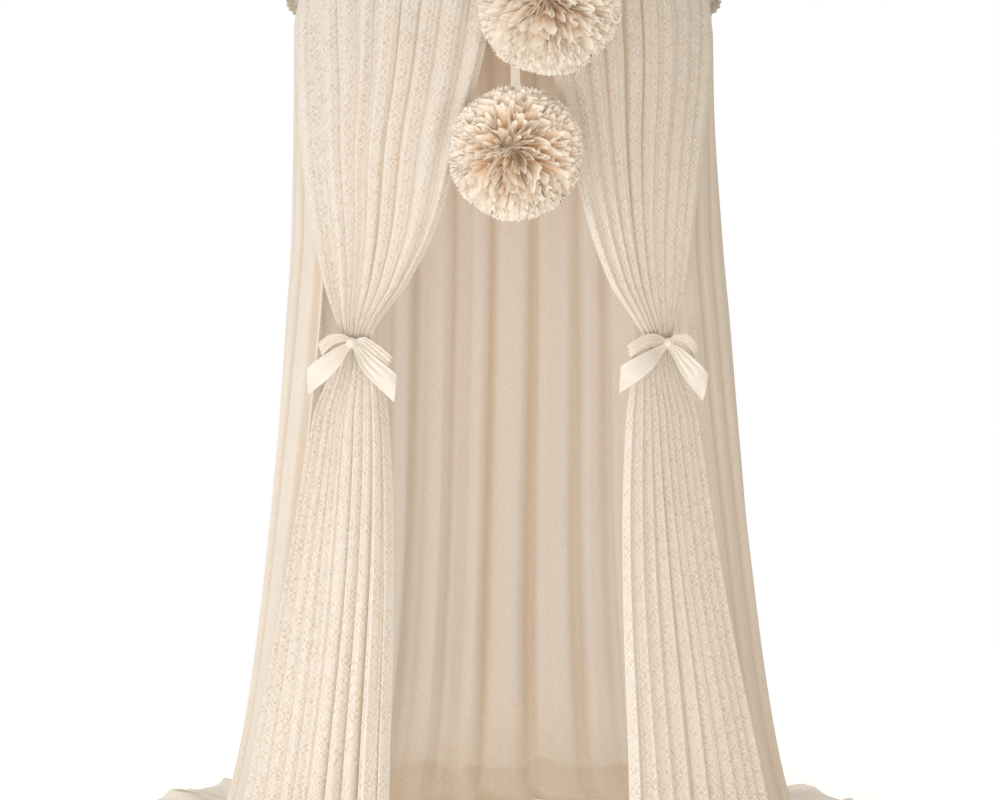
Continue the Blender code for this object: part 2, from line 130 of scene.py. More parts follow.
# Effects shared by the materials

net = {
    "cellsPerMetre": 78.0,
    "leanSpread": 0.70,
    "innerPlace": 0.30,        # from a diamond's line, in shares of the diamond
    "innerWidth": 0.80,        # of the line width
    "innerStrength": 0.75,
    "innerAbove": 0.45,        # cells whose chance is above this have an inner diamond
    "ringRadius": 0.24,
    "ringWidth": 0.10,
    "ringStrength": 0.90,
    "ringAbove": 0.80,         # cells whose chance is above this have a ring
    "hemStrength": 0.45,
    "threadsPerMetre": 480.0,
}


def makeLaceGroup():
    # a diamond net broken into small pieces that lean their own way, with a few inner diamonds and rings
    group, given, result = newGroup(
        "laceLattice",
        [
            ("Cloth Position", "NodeSocketVector", None),
            ("Diamond Width", "NodeSocketFloat", 0.0125),
            ("Diamond Height", "NodeSocketFloat", 0.0150),
            ("Line Width", "NodeSocketFloat", 0.15),
            ("Break", "NodeSocketFloat", 0.009),
            ("Cloth Width", "NodeSocketFloat", 0.62),
            ("Hem Width", "NodeSocketFloat", 0.006),
        ],
        [("Lines", "NodeSocketFloat"), ("Net Height", "NodeSocketFloat")],
    )
    place = given.outputs["Cloth Position"]
    cells = addNode(group, "ShaderNodeTexVoronoi", voronoi_dimensions="2D")
    connect(group, place, cells.inputs["Vector"])
    cells.inputs["Scale"].default_value = net["cellsPerMetre"]
    chance = addNode(group, "ShaderNodeSeparateColor")
    connect(group, cells.outputs["Color"], chance.inputs[0])

    # each cell moves its piece of the net a little and gives it a lean
    centred = vectorCalc(group, "SUBTRACT", cells.outputs["Color"], (0.5, 0.5, 0.5))
    shift = vectorCalc(group, "SCALE", centred, given.outputs["Break"])
    moved = splitVector(group, vectorCalc(group, "ADD", place, shift))
    down = calc(group, "DIVIDE", moved[1], given.outputs["Diamond Height"])
    upright = calc(group, "DIVIDE", moved[0], given.outputs["Diamond Width"])
    slope = calc(group, "MULTIPLY_ADD", chance.outputs[1], net["leanSpread"], -net["leanSpread"] / 2)
    across = calc(group, "MULTIPLY_ADD", slope, down, upright)
    rising = calc(group, "PINGPONG", calc(group, "ADD", across, down), 0.5)
    falling = calc(group, "PINGPONG", calc(group, "SUBTRACT", across, down), 0.5)
    nearest = calc(group, "MINIMUM", rising, falling)
    width = given.outputs["Line Width"]
    diamonds = remap(group, nearest, 0.0, width, 1.0, 0.0)

    # inner diamonds, only in some of the cells
    inner = calc(group, "ABSOLUTE", calc(group, "SUBTRACT", nearest, net["innerPlace"]))
    innerWidth = calc(group, "MULTIPLY", width, net["innerWidth"])
    innerLine = remap(group, inner, 0.0, innerWidth, net["innerStrength"], 0.0)
    hasInner = calc(group, "GREATER_THAN", chance.outputs[2], net["innerAbove"])
    innerLine = calc(group, "MULTIPLY", innerLine, hasInner)

    # rings, in a few of them
    ring = calc(group, "ABSOLUTE", calc(group, "SUBTRACT", cells.outputs["Distance"], net["ringRadius"]))
    ringLine = remap(group, ring, 0.0, net["ringWidth"], net["ringStrength"], 0.0)
    hasRing = calc(group, "GREATER_THAN", chance.outputs[0], net["ringAbove"])
    ringLine = calc(group, "MULTIPLY", ringLine, hasRing)
    lines = calc(group, "MAXIMUM", calc(group, "MAXIMUM", diamonds, innerLine), ringLine)

    # plain band along both side edges
    flat = splitVector(group, place)
    fromEnd = calc(group, "SUBTRACT", given.outputs["Cloth Width"], flat[0])
    fromEdge = calc(group, "MINIMUM", flat[0], fromEnd)
    hem = calc(group, "LESS_THAN", fromEdge, given.outputs["Hem Width"])
    plain = calc(group, "SUBTRACT", 1.0, hem)
    hemLine = calc(group, "MULTIPLY", hem, net["hemStrength"])
    connect(group, calc(group, "MULTIPLY_ADD", lines, plain, hemLine), result.inputs["Lines"])

    # the fine net between the lines
    warp = threads(group, flat[0], net["threadsPerMetre"])
    weft = threads(group, flat[1], net["threadsPerMetre"])
    connect(group, calc(group, "MULTIPLY", warp, weft), result.inputs["Net Height"])
    return group


tonePatch = {"detail": 1.5, "from": 0.30, "to": 0.70}   # most of the noise lies between these two


def makeToneGroup():
    # slow change of tone over the cloth, from dye, handling and soft wear
    group, given, result = newGroup(
        "unevenTone",
        [
            ("Place", "NodeSocketVector", None),
            ("Patch Scale", "NodeSocketFloat", 6.0),
            ("Amount", "NodeSocketFloat", 0.06),
            ("Light Colour", "NodeSocketColor", (1, 1, 1, 1)),
            ("Deep Colour", "NodeSocketColor", (0.8, 0.7, 0.6, 1)),
        ],
        [("Colour", "NodeSocketColor")],
    )
    noise = addNode(group, "ShaderNodeTexNoise")
    connect(group, given.outputs["Place"], noise.inputs["Vector"])
    connect(group, given.outputs["Patch Scale"], noise.inputs["Scale"])
    noise.inputs["Detail"].default_value = tonePatch["detail"]
    patch = remap(group, noise.outputs[0], tonePatch["from"], tonePatch["to"])
    share = calc(group, "MULTIPLY", patch, given.outputs["Amount"])
    mixed = blendColour(group, share, given.outputs["Light Colour"], given.outputs["Deep Colour"])
    connect(group, mixed, result.inputs["Colour"])
    return group


def makeWeaveGroup():
    # plain crossing threads, for satin, tape, ruffle cloth and the plastic's faint drawn lines
    group, given, result = newGroup(
        "fineWeave",
        [
            ("Place", "NodeSocketVector", None),
            ("Threads Per Metre", "NodeSocketFloat", 1500.0),
            ("Cross Strength", "NodeSocketFloat", 0.5),
        ],
        [("Height", "NodeSocketFloat")],
    )
    parts = splitVector(group, given.outputs["Place"])
    warp = threads(group, parts[0], given.outputs["Threads Per Metre"])
    weft = threads(group, parts[1], given.outputs["Threads Per Metre"])
    crossed = calc(group, "MULTIPLY", weft, given.outputs["Cross Strength"])
    connect(group, calc(group, "ADD", warp, crossed), result.inputs["Height"])
    return group


laceLattice = makeLaceGroup()
unevenTone = makeToneGroup()
fineWeave = makeWeaveGroup()


# Materials

def startMaterial(name, sockets):
    material = bpy.data.materials.new(name)
    material.use_nodes = True
    tree = material.node_tree
    shader = tree.nodes["Principled BSDF"]
    setSockets(shader, sockets)
    return material, tree, shader


def clothPlace(tree):
    return addNode(tree, "ShaderNodeUVMap", uv_map="clothMetres").outputs[0]


def addTone(tree, place, look):
    tone = useGroup(
        tree, unevenTone, Place=place, Patch_Scale=look["patchScale"], Amount=look["unevenness"],
        Light_Colour=look["light"], Deep_Colour=look["deep"]
    )
    return tone.outputs["Colour"]


def addBump(tree, shader, height, distance):
    bump = addNode(tree, "ShaderNodeBump")
    setSockets(bump, {"Distance": distance, "Strength": 1.0})
    connect(tree, height, bump.inputs["Height"])
    connect(tree, bump.outputs[0], shader.inputs["Normal"])


def addWeave(tree, shader, place, look):
    weave = useGroup(
        tree, fineWeave, Place=place, Threads_Per_Metre=look["threads"], Cross_Strength=look["cross"]
    )
    addBump(tree, shader, weave.outputs["Height"], look["bump"])


def passLight(tree, share):
    # thin cloth lets more light through than it lets the eye see, so its shadows are lighter
    shadowRay = addNode(tree, "ShaderNodeLightPath").outputs["Is Shadow Ray"]
    return calc(tree, "MULTIPLY_ADD", shadowRay, -share, 1.0)


laceShared = {
    "patchScale": 5.0,
    "unevenness": 0.6,
    "creaseShadeFrom": 0.02,        # the painted fold shade mask runs from 0, darkest at a fold's bottom, to 1, palest at the ridge
    "crestHighlightFrom": 0.84,
    "crestHighlightTo": 0.96,
    "crestHighlightShare": 0.5,
    "edgeBlend": 0.35,
    "edgeShare": 0.9,
    "bump": 0.0004,
    "sockets": {
        "Roughness": 0.85,
        "Sheen Weight": 0.25,
        "Sheen Roughness": 0.6,
        "Specular IOR Level": 0.15,
    },
}

# crease is the painted shade colour for the bottoms of the folds, and thread doubles as the painted
# highlight on their ridges
laceLook = {
    "laceFront": {
        "light": (0.805, 0.732, 0.645, 1),
        "deep": (0.765, 0.677, 0.575, 1),
        "thread": (0.935, 0.890, 0.830, 1),
        "crease": (0.590, 0.465, 0.335, 1),
        "creaseShadeShare": 0.72,
        "creaseShadeTo": 0.40,
        "groundAlpha": 0.80,
        "threadAlpha": 0.97,
        "passesLight": 0.40,
        "width": 0.62,
        "hem": 0.002,
    },
    "laceBack": {
        "light": (0.850, 0.768, 0.672, 1),
        "deep": (0.810, 0.712, 0.600, 1),
        "thread": (0.900, 0.835, 0.750, 1),
        "crease": (0.640, 0.490, 0.345, 1),
        "creaseShadeShare": 0.62,
        "creaseShadeTo": 0.55,
        "groundAlpha": 0.77,
        "threadAlpha": 0.83,
        "passesLight": 0.40,
        "width": 2.20,
        "hem": 0.003,
        # painted shade on the inner face, and the part on the floor; the places are metres down the cloth
        "inside": {
            "colour": (0.870, 0.700, 0.495, 1),
            "share": 0.52,
            "threadShare": 0.32,
            "underTopShadeColour": (0.800, 0.590, 0.375, 1),
            "topFrom": 0.03,
            "topTo": 0.62,
            "underTopShadeShare": 0.75,
            "topAlpha": 0.65,
            "footFrom": 1.55,
            "footTo": 1.90,
            "footAlpha": 0.70,
            "footThread": 0.50,
            "poolFrom": 1.88,
            "poolTo": 1.98,
            "poolAlpha": 0.80,
        },
    },
    "laceTop": {
        "light": (0.810, 0.730, 0.635, 1),
        "deep": (0.770, 0.675, 0.565, 1),
        "thread": (0.930, 0.875, 0.800, 1),
        "crease": (0.640, 0.520, 0.390, 1),
        "creaseShadeShare": 0.50,
        "creaseShadeTo": 0.40,
        "groundAlpha": 0.92,
        "threadAlpha": 1.0,
        "passesLight": 0.55,
        "width": 3.0,
        "hem": 0.0,
    },
}


def addInnerShadeAndNet(tree, look, place, lines, colour, denser):
    # painted shade: the inner face is painted a warmer and darker tone, deepest right under the top
    inside = look["inside"]
    innerFace = addNode(tree, "ShaderNodeNewGeometry").outputs["Backfacing"]
    down = splitVector(tree, place)[1]
    innerShadeShare = calc(tree, "MULTIPLY", innerFace, inside["share"])
    colour = blendColour(tree, innerShadeShare, colour, inside["colour"])
    underTop = remap(tree, down, inside["topFrom"], inside["topTo"], 1.0, 0.0)
    shaded = calc(tree, "MULTIPLY", innerFace, underTop)
    underTopShadeBlend = calc(tree, "MULTIPLY", shaded, inside["underTopShadeShare"])
    colour = blendColour(tree, underTopShadeBlend, colour, inside["underTopShadeColour"])
    # the net shows through the shade as well, and more so near the foot
    nearFoot = remap(tree, down, inside["footFrom"], inside["footTo"])
    netShare = calc(tree, "MULTIPLY_ADD", nearFoot, inside["footThread"], inside["threadShare"])
    innerLines = calc(tree, "MULTIPLY", calc(tree, "MULTIPLY", innerFace, lines), netShare)
    colour = blendColour(tree, innerLines, colour, look["thread"])

    # the inner face under the top is also made more opaque, so it shows less of the white behind
    denser = calc(tree, "MAXIMUM", denser, calc(tree, "MULTIPLY", shaded, inside["topAlpha"]))
    insideFoot = calc(tree, "MULTIPLY", innerFace, nearFoot)
    denser = calc(tree, "MAXIMUM", denser, calc(tree, "MULTIPLY", insideFoot, inside["footAlpha"]))
    # one layer on the pale floor shows more of it than the gathered wall does
    thinner = remap(tree, down, inside["poolFrom"], inside["poolTo"], 1.0, inside["poolAlpha"])
    return colour, denser, thinner


def makeLace(name):
    look = {**laceShared, **laceLook[name]}
    material, tree, shader = startMaterial(name, look["sockets"])
    place = clothPlace(tree)
    lattice = useGroup(
        tree, laceLattice, Cloth_Position=place, Cloth_Width=look["width"], Hem_Width=look["hem"]
    )
    lines = lattice.outputs["Lines"]
    colour = blendColour(tree, lines, addTone(tree, place, look), look["thread"])

    # painted shade and highlight: the narrow bottoms of the folds are painted warmer and darker, their
    # ridges paler; the bottoms also gather more cloth, so they hide more
    foldShade = splitVector(tree, addNode(tree, "ShaderNodeUVMap", uv_map="foldShade").outputs[0])[0]
    creaseShadeAndDensity = remap(tree, foldShade, look["creaseShadeFrom"], look["creaseShadeTo"], look["creaseShadeShare"], 0.0)
    colour = blendColour(tree, creaseShadeAndDensity, colour, look["crease"])
    crestHighlight = remap(tree, foldShade, look["crestHighlightFrom"], look["crestHighlightTo"], 0.0, look["crestHighlightShare"])
    colour = blendColour(tree, crestHighlight, colour, look["thread"])

    # seen edge-on, sheer cloth hides more
    facing = addNode(tree, "ShaderNodeLayerWeight")
    facing.inputs["Blend"].default_value = look["edgeBlend"]
    edgeOn = calc(tree, "MULTIPLY", facing.outputs["Facing"], look["edgeShare"])
    denser = calc(tree, "MAXIMUM", edgeOn, creaseShadeAndDensity)
    thinner = 1.0
    if "inside" in look:
        colour, denser, thinner = addInnerShadeAndNet(tree, look, place, lines, colour, denser)
    connect(tree, colour, shader.inputs["Base Color"])

    gain = look["threadAlpha"] - look["groundAlpha"]
    alpha = calc(tree, "MULTIPLY_ADD", lines, gain, look["groundAlpha"])
    alpha = calc(tree, "MULTIPLY_ADD", calc(tree, "SUBTRACT", 1.0, alpha), denser, alpha)
    alpha = calc(tree, "MULTIPLY", alpha, thinner)
    alpha = calc(tree, "MULTIPLY", alpha, passLight(tree, look["passesLight"]))
    connect(tree, alpha, shader.inputs["Alpha"])
    addBump(tree, shader, lattice.outputs["Net Height"], look["bump"])
    return material


satinLook = {
    "light": (0.860, 0.805, 0.735, 1),
    "deep": (0.800, 0.725, 0.635, 1),
    "patchScale": 24.0,
    "unevenness": 0.5,
    "threads": 1900.0,
    "cross": 0.2,
    "bump": 0.00012,
    "passesLight": 0.45,
    "sockets": {
        "Roughness": 0.38,
        "Sheen Weight": 0.30,
        "Sheen Roughness": 0.5,
        "Specular IOR Level": 0.45,
        # painted glow: a faint warm emission lightens the satin's shaded folds
        "Emission Color": (0.97, 0.86, 0.70, 1),
        "Emission Strength": 0.05,
    },
}


def makeSatin():
    material, tree, shader = startMaterial("satinRibbon", satinLook["sockets"])
    place = clothPlace(tree)
    connect(tree, addTone(tree, place, satinLook), shader.inputs["Base Color"])
    connect(tree, passLight(tree, satinLook["passesLight"]), shader.inputs["Alpha"])
    addWeave(tree, shader, place, satinLook)
    return material


ruffleLook = {
    "light": (0.945, 0.895, 0.825, 1),
    "deep": (0.915, 0.830, 0.725, 1),
    "inside": (0.900, 0.710, 0.515, 1),
    "insideShadeFrom": 0.084,       # metres from the ball's middle
    "insideShadeTo": 0.132,
    "patchScale": 24.0,
    "unevenness": 0.5,
    "threads": 1300.0,
    "cross": 0.5,
    "bump": 0.00012,
    "passesLight": 0.55,
    "sockets": {
        "Roughness": 0.8,
        "Specular IOR Level": 0.05,
        # painted glow: a faint warm emission lights the deep ruffles
        "Emission Color": (0.95, 0.68, 0.44, 1),
        "Emission Strength": 0.03,
    },
}


def makeRuffleCloth():
    # the cloth map runs from a ball's middle to the ruffle's edge; painted shade: tan deep inside the ball,
    # pale at the edge
    material, tree, shader = startMaterial("ruffleCloth", ruffleLook["sockets"])
    place = clothPlace(tree)
    fromMiddle = splitVector(tree, place)[1]
    inside = remap(tree, fromMiddle, ruffleLook["insideShadeFrom"], ruffleLook["insideShadeTo"], 1.0, 0.0)
    colour = blendColour(tree, inside, addTone(tree, place, ruffleLook), ruffleLook["inside"])
    connect(tree, colour, shader.inputs["Base Color"])
    connect(tree, passLight(tree, ruffleLook["passesLight"]), shader.inputs["Alpha"])
    addWeave(tree, shader, place, ruffleLook)
    return material


solidShared = {"patchScale": 18.0, "unevenness": 0.5, "cross": 1.0}

solidLook = {
    "cottonTape": {
        "light": (0.93, 0.88, 0.79, 1),
        "deep": (0.85, 0.77, 0.66, 1),
        "threads": 900.0,
        "bump": 0.0002,
        "sockets": {"Roughness": 0.75, "Sheen Weight": 0.2},
    },
    "hoopPlastic": {
        "light": (0.90, 0.88, 0.84, 1),
        "deep": (0.82, 0.79, 0.73, 1),
        "threads": 140.0,
        "bump": 0.00005,
        "sockets": {"Roughness": 0.42},
    },
    # a paler copy of the ribbon satin, with a painted glow, for the thin ribbons that hang in the balls'
    # shade
    "glowingSatinOnSolids": {
        "light": (0.970, 0.890, 0.775, 1),
        "deep": (0.930, 0.840, 0.715, 1),
        "threads": 1900.0,
        "bump": 0.0001,
        "sockets": {
            "Roughness": 0.38,
            "Sheen Weight": 0.30,
            "Emission Color": (0.970, 0.890, 0.775, 1),
            "Emission Strength": 0.22,
        },
    },
}


def makeSolidMaterial(name):
    # for solids of the frame, which have no cloth map: their own coordinates serve
    look = {**solidShared, **solidLook[name]}
    material, tree, shader = startMaterial(name, look["sockets"])
    place = addNode(tree, "ShaderNodeTexCoord").outputs["Object"]
    connect(tree, addTone(tree, place, look), shader.inputs["Base Color"])
    addWeave(tree, shader, place, look)
    return material


laceFront = makeLace("laceFront")
laceBack = makeLace("laceBack")
laceTop = makeLace("laceTop")
satin = makeSatin()
ruffleCloth = makeRuffleCloth()
tape = makeSolidMaterial("cottonTape")
plastic = makeSolidMaterial("hoopPlastic")
nodeSatin = makeSolidMaterial("glowingSatinOnSolids")
print("materials made")


# Cloth sheets

def smoothCurve(keys, tangent, travel, step, fewest):
    # a cubic curve through the keys, at even steps of their travel
    at = np.linspace(0, travel[-1], max(int(travel[-1] / step), fewest))
    index = np.clip(np.searchsorted(travel, at, side="right") - 1, 0, len(travel) - 2)
    span = (travel[index + 1] - travel[index])[:, None]
    share = (at - travel[index])[:, None] / span
    squared, cubed = share ** 2, share ** 3
    leaving = (2 * cubed - 3 * squared + 1) * keys[index]
    leaving += (cubed - 2 * squared + share) * span * tangent[index]
    arriving = (3 * squared - 2 * cubed) * keys[index + 1]
    arriving += (cubed - squared) * span * tangent[index + 1]
    return leaving + arriving, at


def smoothTable(rows, step, lengthColumn=1):
    # the table's columns down the cloth: smooth, and without overshoot between its rows
    keys = np.array(rows, float)
    lengths = np.hypot(np.diff(keys[:, 0]), np.diff(keys[:, lengthColumn]))
    travel = np.concatenate([[0], np.cumsum(lengths)])
    slopes = np.diff(keys, axis=0) / np.diff(travel)[:, None]
    tangent = np.zeros_like(keys)
    before, after = slopes[:-1], slopes[1:]
    together = before * after > 0
    safe = np.where(together, before + after, 1.0)
    tangent[1:-1] = np.where(together, 2 * before * after / safe, 0.0)
    tangent[0], tangent[-1] = slopes[0], slopes[-1]
    result = smoothCurve(keys, tangent, travel, step, 2)[0]
    return [result[:, k:k + 1] for k in range(keys.shape[1])]


folding = {
    "widthSpread": 0.16,
    "widthPace": 2.1,
    "depthSpread": 0.25,
    "depthPace": 3.7,
    "crestReach": 1.2,
    "crestPower": 0.48,
    "hoopFrom": 1.55,          # height above the floor from which the gathers at the hoop begin
    "hoopOver": 0.30,
}


def foldWave(folds, seed, share):
    # the solid's own folds: widths and depths differ from one to the next
    number = np.arange(folds)
    widths = 1 + folding["widthSpread"] * np.sin(folding["widthPace"] * number + seed)
    depths = 1 + folding["depthSpread"] * np.cos(folding["depthPace"] * number + 2 * seed)
    ends = np.concatenate([[0], np.cumsum(widths)]) / widths.sum()
    inside = np.clip(share, 0, 1)
    index = np.clip(np.searchsorted(ends, inside, side="right") - 1, 0, folds - 1)
    phase = (inside - ends[index]) / (ends[index + 1] - ends[index])
    even = np.sin(fullTurn * phase)
    return depths[index] * even, even


def foldPattern(settings, share, height, seed, smallSeed, free=1.0):
    # main folds that sway on their way down, with second and fine ones between them
    folds, second, fine = settings["folds"], settings["second"], settings["fine"]
    drift = sum(
        size * np.sin(rise * height + run * share + shift * seed)
        for size, rise, run, shift in settings["drift"]
    )
    swayed = share + settings["sway"] / folds * np.sin(math.pi * share) * drift * free
    main, even = foldWave(folds, seed, swayed)
    bend = second["bend"] * np.sin(second["bends"] * share + smallSeed)
    seconds = np.sin(fullTurn * (second["perFold"] * folds * swayed + bend) + second["lean"] * height)
    bend = fine["bend"] * np.sin(fine["bends"] * share + smallSeed)
    fines = np.sin(fullTurn * fine["perFold"] * folds * swayed + bend)
    return main, even, seconds, fines


def broadCrests(wave):
    # cloth hangs in broad rounded ridges with narrow valleys between them
    reach = folding["crestReach"]
    return 2 * np.clip((wave + reach) / (2 * reach), 0, 1) ** folding["crestPower"] - 1


def nearHoop(height):
    return np.clip((height - folding["hoopFrom"]) / folding["hoopOver"], 0, 1)


def sideFade(share, steepness):
    # the folds die out at both side edges
    return np.clip(np.minimum(share, 1 - share) * steepness, 0.0, 1.0)


floorCloth = {
    "stray": 0.035,
    "strayWaves": [(0.6, 5, 0.7), (0.4, 11, 2.0)],   # size, waves round, start
    "crumples": (0.34, 0.25, 0.18, 0.13, 0.10, 0.075),
    "bend": 0.6,
    "bendLength": 2.3,
}


def anyPhase(picks):
    return picks.uniform(0, 6)


def hemWander(angle, lying):
    turn = np.radians(angle)
    waves = sum(size * np.sin(count * turn + start) for size, count, start in floorCloth["strayWaves"])
    return 1.0 + floorCloth["stray"] * waves * lying


def crumple(x, y, seed):
    # low uneven ridges of cloth that has dropped on the floor
    waves = np.zeros_like(x)
    picks = np.random.RandomState(seed)
    for size in floorCloth["crumples"]:
        turn = picks.uniform(0, math.pi)
        along = x * math.cos(turn) + y * math.sin(turn)
        across = x * math.sin(turn) - y * math.cos(turn)
        bendPhase = fullTurn * across / (size * floorCloth["bendLength"]) + anyPhase(picks)
        bend = floorCloth["bend"] * np.sin(bendPhase)
        waves += size * np.sin(fullTurn * along / size + bend + anyPhase(picks))
    return waves


def lyingShare(settings, tilt):
    # 0 where the cloth hangs, 1 where it lies flat
    return np.clip((tilt - settings["lyingFrom"]) / (90 - settings["lyingFrom"]), 0, 1)


def floorLift(settings, base, lying, seed):
    mean, swing, most = settings["lift"]
    return lying * (mean + swing * crumple(base[0], base[1], seed)).clip(0, most)


def foldedPoints(base, turn, depth, tilt, lift):
    # moves points out of the sheet by a fold's depth, never below the floor
    lean = np.radians(tilt)
    x = base[0] + np.sin(turn) * depth * np.cos(lean)
    y = base[1] - np.cos(turn) * depth * np.cos(lean)
    z = np.maximum(base[2] + depth * np.sin(lean) + lift, clothLift)
    return np.stack([x, y, z - hangHeight], axis=-1)


def quadCorners(number):
    corners = [number[:-1, :-1], number[1:, :-1], number[1:, 1:], number[:-1, 1:]]
    return np.stack(corners, axis=-1).reshape(-1, 4)


def mapPairs(across, down):
    return np.stack(np.broadcast_arrays(across, down), axis=-1)


def addMap(mesh, name, pairs):
    cells = np.arange(pairs.shape[0] * pairs.shape[1]).reshape(pairs.shape[:2])
    values = pairs.reshape(-1, 2)[quadCorners(cells).reshape(-1)]
    layer = mesh.uv_layers.new(name=name)
    layer.uv.foreach_set("vector", values.reshape(-1).astype(np.float32))


def clothObject(name, points, mapping, material, closed=False, foldShades=None):
    rows, columns = points.shape[:2]
    number = np.arange(rows * columns).reshape(rows, columns)
    if closed:
        # the last column meets the first, one step further across the cloth
        number = np.concatenate([number, number[:, :1]], axis=1)
        seam = mapping[0, -1, 0] + mapping[0, 1, 0]
        mapping = np.concatenate([mapping, mapping[:, :1] + [[[seam, 0]]]], axis=1)
    corners = quadCorners(number)
    mesh = bpy.data.meshes.new(name)
    mesh.vertices.add(rows * columns)
    mesh.vertices.foreach_set("co", points.reshape(-1).astype(np.float32))
    mesh.loops.add(corners.size)
    mesh.loops.foreach_set("vertex_index", corners.reshape(-1).astype(np.int32))
    mesh.polygons.add(len(corners))
    mesh.polygons.foreach_set("loop_start", np.arange(0, corners.size, 4, dtype=np.int32))
    mesh.update(calc_edges=True)
    addMap(mesh, "clothMetres", mapping)
    # a second map carries the painted shade mask of the folds
    if foldShades is not None:
        if closed:
            foldShades = np.concatenate([foldShades, foldShades[:, :1]], axis=1)
        addMap(mesh, "foldShade", mapPairs(foldShades, foldShades))
    mesh.validate()
    mesh.shade_smooth()
    mesh.materials.append(material)
    made = bpy.data.objects.new(name, mesh)
    bpy.context.scene.collection.objects.link(made)
    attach(made, "root")
    return made


def clothMap(points, width):
    # metres across and down the hung cloth, so that the lace keeps its size from fold to fold
    steps = np.linalg.norm(np.diff(points, axis=1), axis=2)
    shares = np.cumsum(steps, axis=1)
    shares = (shares / shares[:, -1:]).mean(axis=0)
    across = np.concatenate([[0], shares]) * width
    down = np.linalg.norm(np.diff(points, axis=0), axis=2)
    down = np.concatenate([np.zeros((1, points.shape[1])), np.cumsum(down, axis=0)])
    down = 0.5 * down + 0.5 * down.mean(axis=1, keepdims=True)   # half way to even rows
    return mapPairs(across, down)


def meshArea(points):
    across = points[:-1, 1:] - points[:-1, :-1]
    down = points[1:, :-1] - points[:-1, :-1]
    return float(np.linalg.norm(np.cross(across, down), axis=2).sum())


panel = {
    "folds": 10,
    "columns": 281,
    "step": 0.0088,
    "flat": (0.72, 2.30),
    "mapWidth": 0.62,
    "sway": 0.22,
    "drift": [(1.0, 2.6, 4, 1), (0.6, 5.3, 9, 2)],   # size, waves down, waves across, share of the seed
    "second": {"perFold": 2.3, "bend": 0.3, "bends": 7, "lean": 1.2},
    "swell": {"share": 0.4, "across": 5.1, "down": 2.3},   # how the second folds come and go
    "fine": {"perFold": 5.7, "bend": 2.0, "bends": 9},
    "mainShare": 0.80,
    "secondShare": 0.34,
    "fineShare": 0.07,
    "fineAtHoop": 0.12,
    "tiedSwell": 0.16,
    "sideFade": 40,
    "lyingFrom": 30,
    "lift": (0.004, 0.022, 0.018),   # mean, swing and most, of the cloth on the floor
    # how strongly the painted fold shade and highlight mark the cloth, less so towards the outer edge and
    # unevenly over the sheet
    "foldShading": {"even": 0.34, "second": 0.17, "fine": 0.05, "least": 0.2},
    "outerShadeFade": {"from": 0.50, "over": 0.35, "share": 0.62},
    "uneven": {"share": 0.22, "across": 11, "down": 1.4},
    # height, radius, fold, gather, tilt, left inner, left outer, right inner, right outer
    "rows": [
        (1.8777, 0.4650, 0.0050, 0.0, 0, 0.5, 71.0, 5.5, 72.0),
        (1.860, 0.4655, 0.0055, 0.0, 0, 0.8, 70.5, 5.9, 71.5),
        (1.800, 0.4740, 0.0090, 0.0, 0, 2.0, 69.0, 7.2, 70.0),
        (1.670, 0.4830, 0.0130, 0.0, 0, 4.8, 65.0, 10.8, 65.5),
        (1.500, 0.4880, 0.0140, 0.0, 0, 10.2, 60.7, 15.2, 58.5),
        (1.340, 0.4900, 0.0140, 0.0, 0, 15.5, 54.5, 20.0, 53.5),
        (1.220, 0.4920, 0.0150, 0.1, 0, 23.0, 48.3, 25.6, 49.4),
        (1.150, 0.4940, 0.0150, 0.6, 0, 30.0, 43.8, 31.8, 45.4),
        (1.116, 0.4950, 0.0150, 1.0, 0, 32.4, 41.8, 34.4, 43.8),
        (1.092, 0.4950, 0.0150, 1.0, 0, 32.4, 41.8, 34.4, 43.8),
        (1.050, 0.4970, 0.0150, 0.5, 0, 30.0, 45.0, 31.7, 46.3),
        (0.950, 0.5050, 0.0180, 0.0, 0, 27.0, 51.0, 28.9, 52.0),
        (0.650, 0.5450, 0.0200, 0.0, 0, 23.4, 54.7, 25.4, 54.9),
        (0.330, 0.6000, 0.0230, 0.0, 0, 21.5, 56.5, 23.6, 57.5),
        (0.100, 0.6480, 0.0250, 0.0, 0, 20.4, 57.8, 22.4, 59.2),
        (0.028, 0.6900, 0.0240, 0.0, 60, 20.2, 58.0, 22.2, 59.5),
        (0.012, 0.8000, 0.0200, 0.0, 90, 19.5, 58.5, 21.5, 59.8),
        (0.006, 0.9000, 0.0160, 0.0, 90, 19.0, 59.0, 21.0, 60.0),
    ],
}


# painted shade mask of a panel's folds: low in their bottoms, high on their ridges
def panelFoldShade(share, height, even, second, fine, seed):
    foldShading, outerShadeFade, uneven = panel["foldShading"], panel["outerShadeFade"], panel["uneven"]
    shadeRipple = foldShading["even"] * even + foldShading["second"] * second + foldShading["fine"] * fine
    outwards = np.clip((share - outerShadeFade["from"]) / outerShadeFade["over"], 0, 1)
    wander = np.sin(uneven["across"] * share + uneven["down"] * height + seed)
    marked = 1 - outerShadeFade["share"] * outwards + uneven["share"] * wander
    return 0.5 + shadeRipple * np.clip(marked, foldShading["least"], 1)


